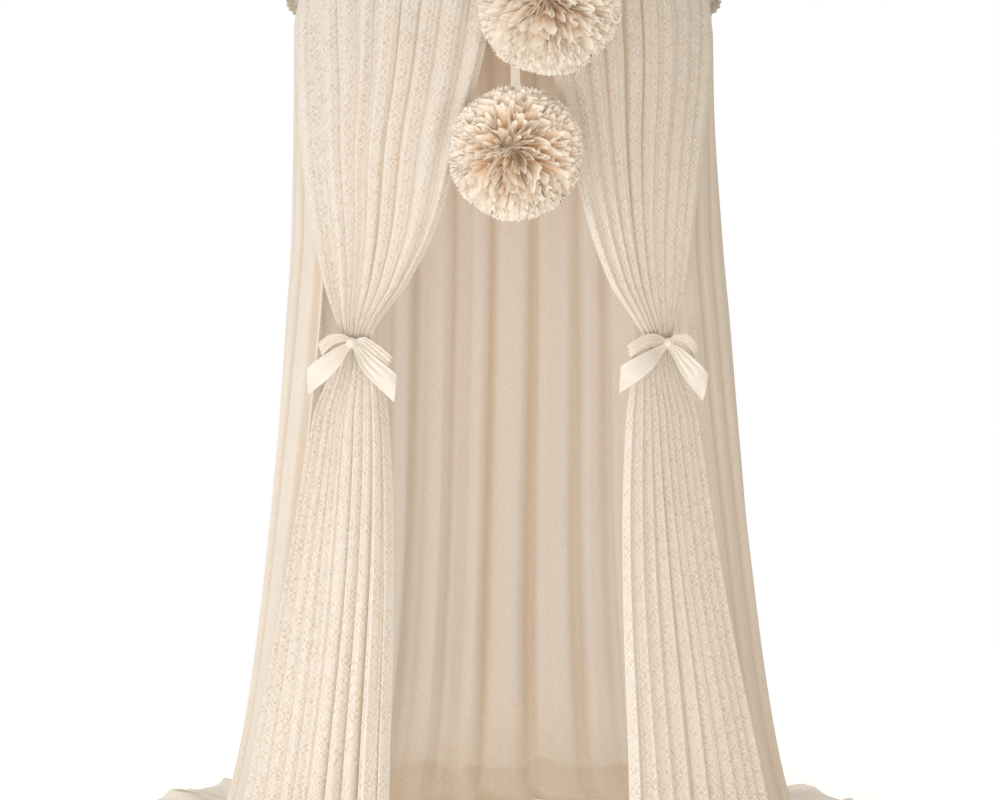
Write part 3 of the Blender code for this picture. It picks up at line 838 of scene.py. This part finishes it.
def makePanel(side, seed, node):
    sign = -1 if side == "Left" else 1
    columns = smoothTable(panel["rows"], panel["step"])
    height, radius, fold, gather, tilt = columns[:5]
    inner, outer = columns[5:7] if side == "Left" else columns[7:9]
    share = np.linspace(0, 1, panel["columns"])[None, :]
    free = 1 - gather
    main, even, second, fine = foldPattern(panel, share, height, seed, seed, free)
    swell = panel["swell"]
    swelling = np.sin(swell["across"] * share + swell["down"] * height + seed)
    second = second * (1 - swell["share"] + swell["share"] * swelling)
    fineShare = panel["fineShare"] + panel["fineAtHoop"] * nearHoop(height)
    wave = panel["mainShare"] * main + free * (panel["secondShare"] * second + fineShare * fine)
    wave = broadCrests(wave) * (1 + gather * panel["tiedSwell"])
    bundle = np.sqrt(np.clip(1 - (2 * share - 1) ** 2, 0, 1))
    depth = fold * wave * (1 + gather * (bundle - 1)) * sideFade(share, panel["sideFade"])
    angle = sign * (inner + (outer - inner) * share)
    turn = np.radians(angle)
    lying = lyingShare(panel, tilt)
    spread = radius * hemWander(angle, lying)
    base = (spread * np.sin(turn), -spread * np.cos(turn), height + 0 * turn)
    lift = floorLift(panel, base, lying, int(10 * seed))
    points = foldedPoints(base, turn, depth, tilt, lift)
    made = clothObject(
        "lacePanel" + side, points, clothMap(points, panel["mapWidth"]), laceFront,
        foldShades=panelFoldShade(share, height, even, second, fine, seed)
    )
    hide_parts(node)
    print("panel", side, "area", round(meshArea(points), 3))


drape = {
    "folds": 22,
    "columns": 441,
    "step": 0.0115,
    "flat": (2.70, 2.35),
    "mapWidth": 2.20,
    "seed": 0.9,
    "sway": 0.10,
    "drift": [(1.0, 2.1, 9, 0)],   # size, waves down, waves across, share of the seed
    "second": {"perFold": 1.7, "bend": 0.4, "bends": 11, "lean": 0.8},
    "fine": {"perFold": 4.3, "bend": 2.0, "bends": 17},
    "mainShare": 0.80,
    "secondShare": 0.30,
    "fineShare": 0.06,
    "fineAtHoop": 0.14,
    "sideFade": 80,
    "lyingFrom": 25,
    "lift": (0.003, 0.020, 0.016),   # mean, swing and most, of the cloth on the floor
    "crumpleSeed": 5,
    "foldShading": {"even": 0.16, "main": 0.16, "second": 0.19, "fine": 0.05},
    "backReach": 1.6,
    "backFolds": 0.8,
    "backFoldsFrom": 0.4,
    "frontEnds": 72.0,
    "sideStarts": 90.0,
    # height, front, left, right, back, fold, tilt, edge
    "rows": [
        (1.884, 0.4485, 0.4485, 0.4485, 0.4485, 0.0050, 0, 54.0),
        (1.800, 0.4500, 0.4600, 0.4600, 0.4580, 0.0075, 0, 54.0),
        (1.670, 0.4530, 0.4600, 0.4615, 0.4590, 0.0080, 0, 54.0),
        (1.340, 0.4585, 0.4660, 0.4810, 0.4620, 0.0085, 0, 54.0),
        (1.180, 0.4700, 0.4740, 0.4940, 0.4640, 0.0100, 0, 54.0),
        (0.950, 0.4880, 0.4880, 0.5120, 0.4660, 0.0120, 0, 55.5),
        (0.650, 0.5120, 0.5120, 0.5400, 0.4720, 0.0140, 0, 59.0),
        (0.330, 0.5500, 0.5500, 0.5780, 0.4780, 0.0160, 0, 60.5),
        (0.100, 0.6000, 0.6000, 0.6250, 0.4640, 0.0170, 0, 61.7),
        (0.028, 0.6400, 0.6400, 0.6650, 0.4400, 0.0130, 30, 62.0),
        (0.011, 0.7000, 0.7000, 0.7250, 0.4160, 0.0050, 60, 62.1),
        (0.009, 0.8100, 0.8100, 0.8300, 0.6600, 0.0120, 90, 62.5),
        (0.005, 0.9700, 0.9800, 1.0000, 0.9300, 0.0120, 90, 63.0),
    ],
}


def makeDrape():
    columns = smoothTable(drape["rows"], drape["step"], lengthColumn=2)
    height, front, left, right, back, fold, tilt, edge = columns
    share = np.linspace(0, 1, drape["columns"])[None, :]
    main, even, second, fine = foldPattern(drape, share, height, drape["seed"], 0)
    fineShare = drape["fineShare"] + drape["fineAtHoop"] * nearHoop(height)
    wave = drape["mainShare"] * main + drape["secondShare"] * second + fineShare * fine
    angle = edge + (360 - 2 * edge) * share
    turn = np.radians(angle)
    lying = lyingShare(drape, tilt)

    # the back is seen from inside, so its broad ridges face inwards
    atBack = np.clip(-np.cos(turn) * drape["backReach"], 0, 1)
    wave = broadCrests(wave) * (1 - atBack) - broadCrests(-wave) * atBack
    deeper = 1 + drape["backFolds"] * atBack * np.clip(height / drape["backFoldsFrom"], 0, 1)
    depth = fold * wave * deeper * sideFade(share, drape["sideFade"])

    # round in front, oval at the back, with a smooth change between them
    side = np.where(np.sin(turn) > 0, right, left)
    fromFront = np.abs((angle + 180) % 360 - 180)
    blendRun = drape["sideStarts"] - drape["frontEnds"]
    blend = np.clip((fromFront - drape["frontEnds"]) / blendRun, 0, 1)
    radius = front + (side - front) * blend * blend * (3 - 2 * blend)
    grown = hemWander(angle, lying)
    reachX = np.where(np.cos(turn) < 0, side, radius) * grown
    reachY = np.where(np.cos(turn) < 0, back, radius) * grown
    base = (reachX * np.sin(turn), -reachY * np.cos(turn), height + 0 * turn)
    lift = floorLift(drape, base, lying, drape["crumpleSeed"])
    points = foldedPoints(base, turn, depth, tilt, lift)
    # painted shade mask of the folds, turned over at the back, which is seen from inside
    foldShading = drape["foldShading"]
    shadeRipple = foldShading["even"] * even + foldShading["main"] * main + foldShading["second"] * second + foldShading["fine"] * fine
    made = clothObject(
        "laceDrape", points, clothMap(points, drape["mapWidth"]), laceBack,
        foldShades=0.5 + shadeRipple * (1 - 2 * atBack)
    )
    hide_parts("back_drape")
    print("drape area", round(meshArea(points), 3))


top = {
    "flutes": 12,
    "gathers": 60,
    "gatherBend": 1.4,
    "gatherBends": 7,
    "gatherDepth": (0.016, 0.0006, 0.0035),   # of the radius, least and most
    "hoopHeight": 1.889,
    "hoopRun": 0.03,           # the gathers are shallower this near to the hoop
    "hoopLeast": 0.25,
    "frillHeight": 2.312,
    "frillRun": 0.02,
    "frillDepth": 0.0022,
    "columns": 480,
    "step": 0.008,
    "turn": 2.7,
    "flat": (3.00, 0.62),
    "mapWidth": 3.00,
    # height, radius, flute
    "rows": [
        (1.862, 0.4785, 0.0),
        (1.884, 0.4785, 0.0),
        (1.8912, 0.4655, 0.0),
        (1.8917, 0.4600, 0.0),
        (1.945, 0.4000, 0.006),
        (2.020, 0.2850, 0.010),
        (2.110, 0.1680, 0.010),
        (2.200, 0.0760, 0.006),
        (2.285, 0.0185, 0.0),
        (2.310, 0.0185, 0.0),
        (2.335, 0.0270, 0.002),
    ],
}


def makeTop():
    height, radius, flute = smoothTable(top["rows"], top["step"])
    share = np.arange(top["columns"])[None, :] / top["columns"]
    turn = np.radians(top["turn"]) + fullTurn * share
    main = np.sin(fullTurn * top["flutes"] * share)
    bend = top["gatherBend"] * np.sin(fullTurn * top["gatherBends"] * share)
    gathered = np.sin(fullTurn * top["gathers"] * share + bend)
    ofRadius, least, most = top["gatherDepth"]
    awayFromHoop = np.clip(np.abs(height - top["hoopHeight"]) / top["hoopRun"], top["hoopLeast"], 1)
    small = np.clip(radius * ofRadius, least, most) * awayFromHoop
    frill = top["frillDepth"] * np.clip((height - top["frillHeight"]) / top["frillRun"], 0, 1)
    reach = radius + flute * main + (small + frill) * gathered
    places = [reach * np.sin(turn), -reach * np.cos(turn), height - hangHeight + 0 * turn]
    points = np.stack(places, axis=-1)
    # painted shade mask that follows the gathers
    foldShades = np.broadcast_to((1 + gathered) / 2, points.shape[:2])
    made = clothObject(
        "laceTop", points, clothMap(points, top["mapWidth"]), laceTop, closed=True,
        foldShades=foldShades
    )
    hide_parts("dome")
    print("top area", round(meshArea(points), 3))


makePanel("Left", 0.4, "panel_left")
makePanel("Right", 1.9, "panel_right")
makeDrape()
makeTop()
print("lace sheets made")


# Ruffled cloth balls

ball = {
    "front": 0.085,            # how far a ball stands out along its axis
    "axis": (-0.12, -1.0, 0.0),
    "across": 480,
    "out": 9,
    "innerEdge": 0.10,         # where a layer starts, as a share of its reach
    "opening": 1.3,
    "mapLeast": 0.2,           # the cloth map's width: a layer's own rim, at least this share of the ball's
    "mapRoom": 1.5,
    # size and waves round, of how the ruffles' places, depths and edges wander
    "placeWaves": [(2.2, 3), (1.3, 7)],
    "depth": 0.80,
    "depthWaves": [(0.30, 4), (0.25, 11)],
    "edgeWaves": [(0.02, 6)],
    # size, pace against the ruffles and twist on the way out, of the smaller waves on them
    "coarse": (0.40, 2.37, 1.5),
    "fine": (0.22, 3.9, 2.5),
    "curl": (1.15, 2, 1.2),
    "notch": (0.018, 1.7, 0),
    "twist": 0.9,
    # lean from the axis in degrees, reach, ruffles round, swing in degrees
    "layers": [
        (3, 0.93, 4, 11.0),
        (9, 0.96, 7, 13.0),
        (18, 1.00, 11, 12.0),
        (28, 1.01, 15, 11.0),
        (38, 1.01, 19, 10.0),
        (48, 1.00, 24, 9.0),
        (57, 1.00, 30, 7.5),
        (66, 1.00, 38, 6.0),
        (75, 1.00, 46, 4.5),
        (83, 1.00, 54, 3.4),
        (91, 1.00, 60, 3.0),
        (99, 1.00, 54, 3.2),
        (110, 0.99, 38, 4.5),
        (126, 0.99, 28, 6.0),
        (142, 0.98, 18, 7.0),
        (158, 0.97, 10, 8.0),
    ],
    "balls": [
        {"name": "ruffleBallUpper", "node": "pompom_upper", "place": (0.0875, -0.572, 1.7570),
         "radius": 0.139, "back": 0.066, "seed": 3},
        {"name": "ruffleBallLower", "node": "pompom_lower", "place": (0.0223, -0.550, 1.4697),
         "radius": 0.130, "back": 0.066, "seed": 8},
    ],
}


def addWaves(start, turn, waves, picks):
    return sum((size * np.sin(count * turn + anyPhase(picks)) for size, count in waves), start)


def ruffleWave(values, phase, out, picks):
    size, pace, twist = values
    return size * np.sin(pace * phase + anyPhase(picks) + twist * out)


def ruffleLayer(one, layer, picks):
    # a round sheet whose outer edge swings to and fro, so that it stands in ruffles round the ball's axis
    lean, reach, ruffles, swing = layer
    turn = np.linspace(0, fullTurn, ball["across"], endpoint=False)[None, :]
    out = np.linspace(ball["innerEdge"], 1.0, ball["out"])[:, None]
    opened = out ** ball["opening"]
    phase = addWaves(ruffles * turn, turn, ball["placeWaves"], picks)
    uneven = addWaves(ball["depth"], turn, ball["depthWaves"], picks)
    second = ruffleWave(ball["coarse"], phase, out, picks)
    second = second + ruffleWave(ball["fine"], phase, out, picks) * opened
    leanHere = np.radians(lean + swing * uneven * (np.sin(phase + ball["twist"] * out) + second) * opened)
    size, pace, twist = ball["curl"]
    curl = ruffleWave((size / ruffles, pace, twist), phase, out, picks)
    turnHere = turn + curl * opened * uneven
    notched = 1 + ruffleWave(ball["notch"], phase, out, picks) * out
    far = reach * addWaves(notched, turn, ball["edgeWaves"], picks) * out
    across = one["radius"] * far * np.sin(leanHere)
    depth = np.where(np.cos(leanHere) > 0, ball["front"], one["back"]) * np.cos(leanHere) * far

    axis = Vector(ball["axis"]).normalized()
    right = Vector((0, 0, 1)).cross(axis).normalized()
    x, y, height = one["place"]
    points = np.array((x, y, height - hangHeight)) + depth[..., None] * np.array(axis)
    points = points + (across * np.cos(turnHere))[..., None] * np.array(right)
    points = points + (across * np.sin(turnHere))[..., None] * np.array((0, 0, 1.0))
    rim = max(math.sin(math.radians(lean)), ball["mapLeast"])
    wide = one["radius"] * fullTurn * rim * ball["mapRoom"]
    return points, mapPairs(turn / fullTurn * wide, out * one["radius"])


def joinObjects(objects, name):
    # one mesh from many, kept with its cloth map
    shape = bmesh.new()
    for thing in objects:
        shape.from_mesh(thing.data)
    mesh = bpy.data.meshes.new(name)
    shape.to_mesh(mesh)
    shape.free()
    mesh.materials.append(objects[0].data.materials[0])
    mesh.shade_smooth()
    for thing in objects:
        old = thing.data
        bpy.data.objects.remove(thing, do_unlink=True)
        bpy.data.meshes.remove(old)
    made = bpy.data.objects.new(name, mesh)
    bpy.context.scene.collection.objects.link(made)
    return made


def makeBall(one):
    picks = np.random.RandomState(one["seed"])
    layers = []
    for index, layer in enumerate(ball["layers"]):
        points, mapping = ruffleLayer(one, layer, picks)
        name = one["name"] + "Layer" + str(index)
        layers.append(clothObject(name, points, mapping, ruffleCloth, closed=True))
    whole = joinObjects(layers, one["name"])
    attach(whole, "root")
    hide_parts(one["node"])


for one in ball["balls"]:
    makeBall(one)
print("ruffled balls made")


# Satin ties

bow = {
    "width": 0.044,
    "leastWidth": 0.006,
    "height": 1.104,
    "radius": 0.495,
    "wall": 0.0015,
    "sink": 0.0007,            # how deep the knot sits in the band
    "thickness": 0.0005,
    "across": 33,
    "step": 0.0016,
    "pleats": 3,
    "pleatStart": 0.7,
    "pleatFlatness": 4.4,      # spare width over the pleats' height
    "pleatRun": 0.03,          # the pleats are lower this near to a strip's ends
    "pleatLeast": 0.35,
    "curl": 0.0022,
    "curlsDown": 26,
    "slant": 0.036,
    "band": {
        "longHalf": 0.0422,
        "shortHalf": 0.0217,
        "tall": 0.016,
        "around": 160,
        "rows": 15,
        "stand": 0.6,          # of the wall's thickness
        "crease": 0.0006,
        "creases": 2.4,
        "creaseBend": (0.8, 3),
        "bulge": 0.0009,
        "edgeIn": 0.0010,
        "edgeFrom": 0.7,
        "edgeRun": 0.3,
        "tallWave": (0.06, 4),
        "mapSize": (0.035, 0.03),
    },
    "knot": {
        "size": (0.022, 0.014, 0.022),   # wide, deep, high
        "around": 72,
        "rows": 31,
        "taper": 0.35,
        "endPower": 6,         # higher closes the ends more bluntly
        "crease": 0.045,
        "creases": 1.7,
        "creaseBend": 0.9,
        "bulge": 0.85,         # outwards, in shares of the depth
        "forward": 0.35,
        "mapSize": (0.008, 0.012),
    },
    # strips in millimetres: right, up and forward from the knot, and the ribbon's width there
    "ties": [
        {
            "side": "Left", "node": "tie_left", "angle": -37.1, "turn": 70.0,
            "tailLeft": [
                (0, -1, 1, 9), (-14, -10, 10, 18), (-34, -30, 16, 34), (-60, -53, 14, 43),
                (-91, -77, 4, 44),
            ],
            "tailRight": [
                (0, -2, -1, 9), (14, -18, 12, 20), (34, -42, 36, 36), (60, -66, 44, 43),
                (88, -92, 40, 44),
            ],
            "loopLeft": [
                (0, 3, 2, 9), (-18, 10, 12, 15), (-42, 6, 14, 22), (-63, -14, 6, 25),
                (-61, -18, -8, 24), (-40, -2, -6, 20), (-16, 4, -3, 14), (0, 2, -3, 9),
            ],
            "loopRight": [
                (0, 2, 2, 9), (18, 4, 14, 16), (44, -14, 28, 24), (74, -42, 30, 26),
                (72, -44, 18, 26), (44, -17, 14, 24), (18, -1, 4, 15), (0, 1, -3, 9),
            ],
        },
        {
            "side": "Right", "node": "tie_right", "angle": 39.1, "turn": 93.0,
            "tailLeft": [
                (0, -1, 1, 9), (-16, -14, 14, 18), (-40, -34, 40, 34), (-68, -54, 50, 43),
                (-98, -74, 46, 44),
            ],
            "tailRight": [
                (0, -2, -1, 9), (14, -14, 12, 20), (32, -36, 18, 34), (52, -60, 16, 43),
                (78, -90, 6, 44),
            ],
            "loopLeft": [
                (0, 3, 2, 9), (-18, 9, 16, 15), (-46, 5, 34, 22), (-78, -18, 40, 25),
                (-76, -22, 26, 24), (-44, -2, 18, 20), (-18, 4, 4, 14), (0, 2, -3, 9),
            ],
            "loopRight": [
                (0, 3, 2, 9), (16, 10, 12, 14), (34, 9, 16, 18), (56, -16, 10, 20),
                (54, -20, -4, 19), (32, 3, 0, 17), (14, 6, -2, 13), (0, 2, -3, 9),
            ],
        },
    ],
}


def thicken(made):
    thick = made.modifiers.new("thickness", "SOLIDIFY")
    thick.thickness = bow["thickness"]
    thick.offset = 0


def stripLine(route):
    # a smooth line through a strip's points, as places and widths at even steps
    keys = np.array([(right, -forward, up, width) for right, up, forward, width in route], float) / 1000
    travel = np.concatenate([[0], np.cumsum(np.linalg.norm(np.diff(keys[:, :3], axis=0), axis=1))])
    return smoothCurve(keys, np.gradient(keys, travel, axis=0), travel, bow["step"], 8)


def makeRibbon(name, route, knotPlace, isTail):
    line, travel = stripLine(route)
    centres = knotPlace + line[:, :3]
    widths = np.clip(line[:, 3], bow["leastWidth"], bow["width"])
    reach = centres[np.argmax(np.linalg.norm(centres - centres[0], axis=1))] - centres[0]
    across = np.array((-reach[2], 0, reach[0]))
    across = across / np.linalg.norm(across)
    ahead = np.gradient(centres, axis=0)
    through = np.cross(np.broadcast_to(across, ahead.shape), ahead)
    through = through / np.linalg.norm(through, axis=1, keepdims=True)
    share = np.linspace(-0.5, 0.5, bow["across"])[None, :]

    # where the ribbon is narrower than it was cut, the rest stands up in pleats
    spare = np.sqrt(np.clip(bow["width"] ** 2 - widths ** 2, 0, None))[:, None]
    spare = spare / (bow["pleatFlatness"] * bow["pleats"])
    fromKnot = np.clip(travel / bow["pleatRun"], bow["pleatLeast"], 1)[:, None]
    fromEnd = np.clip((travel[-1] - travel) / bow["pleatRun"], bow["pleatLeast"], 1)[:, None]
    spare = spare * fromKnot * fromEnd
    pleat = spare * np.sin(fullTurn * bow["pleats"] * share + bow["pleatStart"])
    curl = bow["curl"] * np.cos(fullTurn * share) * np.sin(bow["curlsDown"] * travel[:, None] + 1.0)
    rise = pleat + curl * (widths[:, None] / bow["width"])
    slant = 0 * share
    if isTail:
        # the free end is cut on the slant, its lower edge the longer one
        lastThird = np.clip((travel / travel[-1])[:, None] * 3 - 2, 0, 1)
        slant = -np.sign(across[2]) * bow["slant"] * share * lastThird
    direction = ahead / np.linalg.norm(ahead, axis=1, keepdims=True)
    points = centres[:, None, :] + across * (share * widths[:, None])[..., None]
    points = points + through[:, None, :] * rise[..., None]
    points = points + direction[:, None, :] * slant[..., None]
    mapping = mapPairs(share * bow["width"], travel[:, None])
    made = clothObject(name, points, mapping, satin)
    thicken(made)
    return made


def makeBand(tie, centre, along, outward):
    # a ribbon round the bundle, with soft creases
    band = bow["band"]
    around = np.linspace(0, fullTurn, band["around"], endpoint=False)[None, :]
    rise = np.linspace(-0.5, 0.5, band["rows"])[:, None]
    size, count = band["creaseBend"]
    bend = size * np.sin(count * around)
    crease = band["crease"] * np.sin(fullTurn * band["creases"] * rise + bend) + band["bulge"]
    edgeIn = band["edgeIn"] * np.clip(np.abs(rise) * 2 - band["edgeFrom"], 0, 1) / band["edgeRun"]
    wall = bow["wall"] * band["stand"] + crease - edgeIn
    longWay = (band["longHalf"] + wall) * np.cos(around)
    shortWay = (band["shortHalf"] + wall) * np.sin(around)
    points = np.array(centre) + longWay[..., None] * np.array(along)
    points = points + shortWay[..., None] * np.array(outward)
    size, count = band["tallWave"]
    points[..., 2] += band["tall"] * rise * (1 + size * np.sin(count * around))
    mapping = mapPairs(around * band["mapSize"][0], rise * band["mapSize"][1])
    made = clothObject("tieBand" + tie["side"], points, mapping, satin, closed=True)
    thicken(made)
    return made


def makeKnot(tie, centre, along, outward):
    # on the band's outer side: a ribbon wrapped over, fat in the middle, with creases that run round it
    knot = bow["knot"]
    place = math.radians(tie["turn"])
    longHalf = bow["band"]["longHalf"] + bow["wall"]
    shortHalf = bow["band"]["shortHalf"] + bow["wall"]
    wallPoint = centre + along * (longHalf * math.cos(place)) + outward * (shortHalf * math.sin(place))
    normal = (along * (math.cos(place) / longHalf) + outward * (math.sin(place) / shortHalf)).normalized()
    wide, deep, high = knot["size"]
    knotPlace = wallPoint + normal * (deep / 2 - bow["sink"])
    right = Vector((0, 0, 1)).cross(normal)
    ring = np.linspace(0, fullTurn, knot["around"], endpoint=False)[None, :]
    width = np.linspace(-1, 1, knot["rows"])[:, None]
    bend = knot["creaseBend"] * np.sin(ring)
    creases = 1 + knot["crease"] * np.sin(fullTurn * knot["creases"] * width + bend)
    fat = (1 - knot["taper"] * width ** 2) * creases
    fat = fat * np.sqrt(np.clip(1.0001 - width ** knot["endPower"], 0, 1))   # never quite closed
    outwards = deep * knot["bulge"] * fat * np.cos(ring) + deep * knot["forward"]
    points = np.array(knotPlace) + (wide / 2 * width * (1 + 0 * ring))[..., None] * np.array(right)
    points = points + outwards[..., None] * np.array(normal)
    points = points + (high / 2 * fat * np.sin(ring))[..., None] * np.array((0, 0, 1.0))
    mapping = mapPairs(ring * knot["mapSize"][0], width * knot["mapSize"][1])
    made = clothObject("tieKnot" + tie["side"], points, mapping, satin, closed=True)
    return made, knotPlace


def makeTie(tie):
    turn = math.radians(tie["angle"])
    low = Vector((0, 0, bow["height"] - hangHeight))
    outward = Vector((math.sin(turn), -math.cos(turn), 0))
    along = Vector((math.cos(turn), math.sin(turn), 0))
    centre = outward * bow["radius"] + low
    band = makeBand(tie, centre, along, outward)
    knot, knotPlace = makeKnot(tie, centre, along, outward)
    pieces = [band, knot]
    for part in ("loopLeft", "loopRight", "tailLeft", "tailRight"):
        name = "bow" + tie["side"] + part[0].upper() + part[1:]
        pieces.append(makeRibbon(name, tie[part], np.array(knotPlace), part.startswith("tail")))
    for piece in pieces:
        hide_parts(tie["node"])


for tie in bow["ties"]:
    makeTie(tie)
print("ties made")


# Solids of the frame that stay, with a better finish

for node, material in (
    ("hoop", plastic),
    ("crown_binding", tape),
    ("hang_loop", tape),
    ("pompom_ribbon_upper", nodeSatin),
    ("pompom_ribbon_lower", nodeSatin),
):
    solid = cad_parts[node]
    for slot in solid.material_slots:
        slot.material = material


# Floor, light and camera

studio = {
    "floorRadius": 3.4,
    "floorSides": 96,
    "floor": (0.75, 0.73, 0.70, 1),
    "floorGlow": 0.62,
    "fadeFrom": 1.3,
    "fadeTo": 0.95,            # of the floor's radius
    "ambient": (1.0, 0.91, 0.80, 1),
    "ambientStrength": 0.57,
    "lights": [
        # name, place, width, height, power, colour
        ("keyLight", (-3.9, -2.8, -1.8), 2.4, 2.2, 66.0, (0.96, 1.0, 1.06)),
        ("sideLight", (-4.3, 0.9, -1.5), 1.6, 1.8, 30.0, (0.96, 1.0, 1.05)),
        ("frontLight", (0.1, -3.3, -2.1), 2.2, 0.5, 37.0, (1.0, 0.97, 0.93)),
        ("topLight", (0.3, 0.6, 2.2), 2.0, 2.0, 14.0, (1.0, 0.97, 0.94)),
    ],
    "aim": (0.0, 0.0, -1.7),
    "lens": 70.0,
    "sensor": 36.0,
    "eye": (-0.0078, -4.326, 0.99 - hangHeight),
}


def makeFloor():
    radius, sides = studio["floorRadius"], studio["floorSides"]
    turns = np.linspace(0, fullTurn, sides, endpoint=False)
    points = [(radius * math.cos(turn), radius * math.sin(turn), -hangHeight) for turn in turns]
    mesh = bpy.data.meshes.new("studioFloor")
    mesh.from_pydata(points, [], [tuple(range(sides))])
    floor = bpy.data.objects.new("studioFloor", mesh)
    bpy.context.scene.collection.objects.link(floor)
    sockets = {
        "Roughness": 0.9,
        "Specular IOR Level": 0.0,
        "Base Color": studio["floor"],
        "Emission Color": (1, 1, 1, 1),
    }
    material, tree, shader = startMaterial("paleFloor", sockets)
    seen = addNode(tree, "ShaderNodeLightPath").outputs["Is Camera Ray"]
    connect(tree, calc(tree, "MULTIPLY", seen, studio["floorGlow"]), shader.inputs["Emission Strength"])
    # the floor fades out towards its rim
    place = addNode(tree, "ShaderNodeTexCoord").outputs["Object"]
    distance = addNode(tree, "ShaderNodeVectorMath", operation="LENGTH")
    connect(tree, vectorCalc(tree, "MULTIPLY", place, (1, 1, 0)), distance.inputs[0])
    fadeTo = radius * studio["fadeTo"]
    fade = remap(tree, distance.outputs["Value"], studio["fadeFrom"], fadeTo, 1.0, 0.0)
    connect(tree, fade, shader.inputs["Alpha"])
    mesh.materials.append(material)


def makeLights():
    for name, place, width, height, power, colour in studio["lights"]:
        light = bpy.data.lights.new(name, "AREA")
        light.shape = "RECTANGLE"
        light.size = width
        light.size_y = height
        light.energy = power
        light.color = colour
        lamp = bpy.data.objects.new(name, light)
        lamp.location = place
        lamp.rotation_euler = (Vector(studio["aim"]) - Vector(place)).to_track_quat("-Z", "Y").to_euler()
        bpy.context.scene.collection.objects.link(lamp)


def makeWorld():
    # the camera sees plain white, while the cloth is lit by a warm ambient light
    world = bpy.data.worlds.new("paleStudio")
    bpy.context.scene.world = world
    world.use_nodes = True
    tree = world.node_tree
    tree.nodes.clear()
    result = addNode(tree, "ShaderNodeOutputWorld")
    mix = addNode(tree, "ShaderNodeMixShader")
    lit = addNode(tree, "ShaderNodeBackground")
    setSockets(lit, {"Color": studio["ambient"], "Strength": studio["ambientStrength"]})
    seen = addNode(tree, "ShaderNodeBackground")
    setSockets(seen, {"Color": (1, 1, 1, 1), "Strength": 1.0})
    connect(tree, addNode(tree, "ShaderNodeLightPath").outputs["Is Camera Ray"], mix.inputs[0])
    connect(tree, lit.outputs[0], mix.inputs[1])
    connect(tree, seen.outputs[0], mix.inputs[2])
    connect(tree, mix.outputs[0], result.inputs[0])


def makeCamera():
    data = bpy.data.cameras.new("photoCamera")
    data.lens = studio["lens"]
    data.sensor_width = studio["sensor"]
    camera = bpy.data.objects.new("photoCamera", data)
    camera.location = studio["eye"]
    camera.rotation_euler = (math.radians(90), 0, 0)
    bpy.context.scene.collection.objects.link(camera)
    bpy.context.scene.camera = camera


makeFloor()
makeLights()
makeWorld()
makeCamera()
bpy.context.scene.view_settings.view_transform = "Standard"
print("studio made")
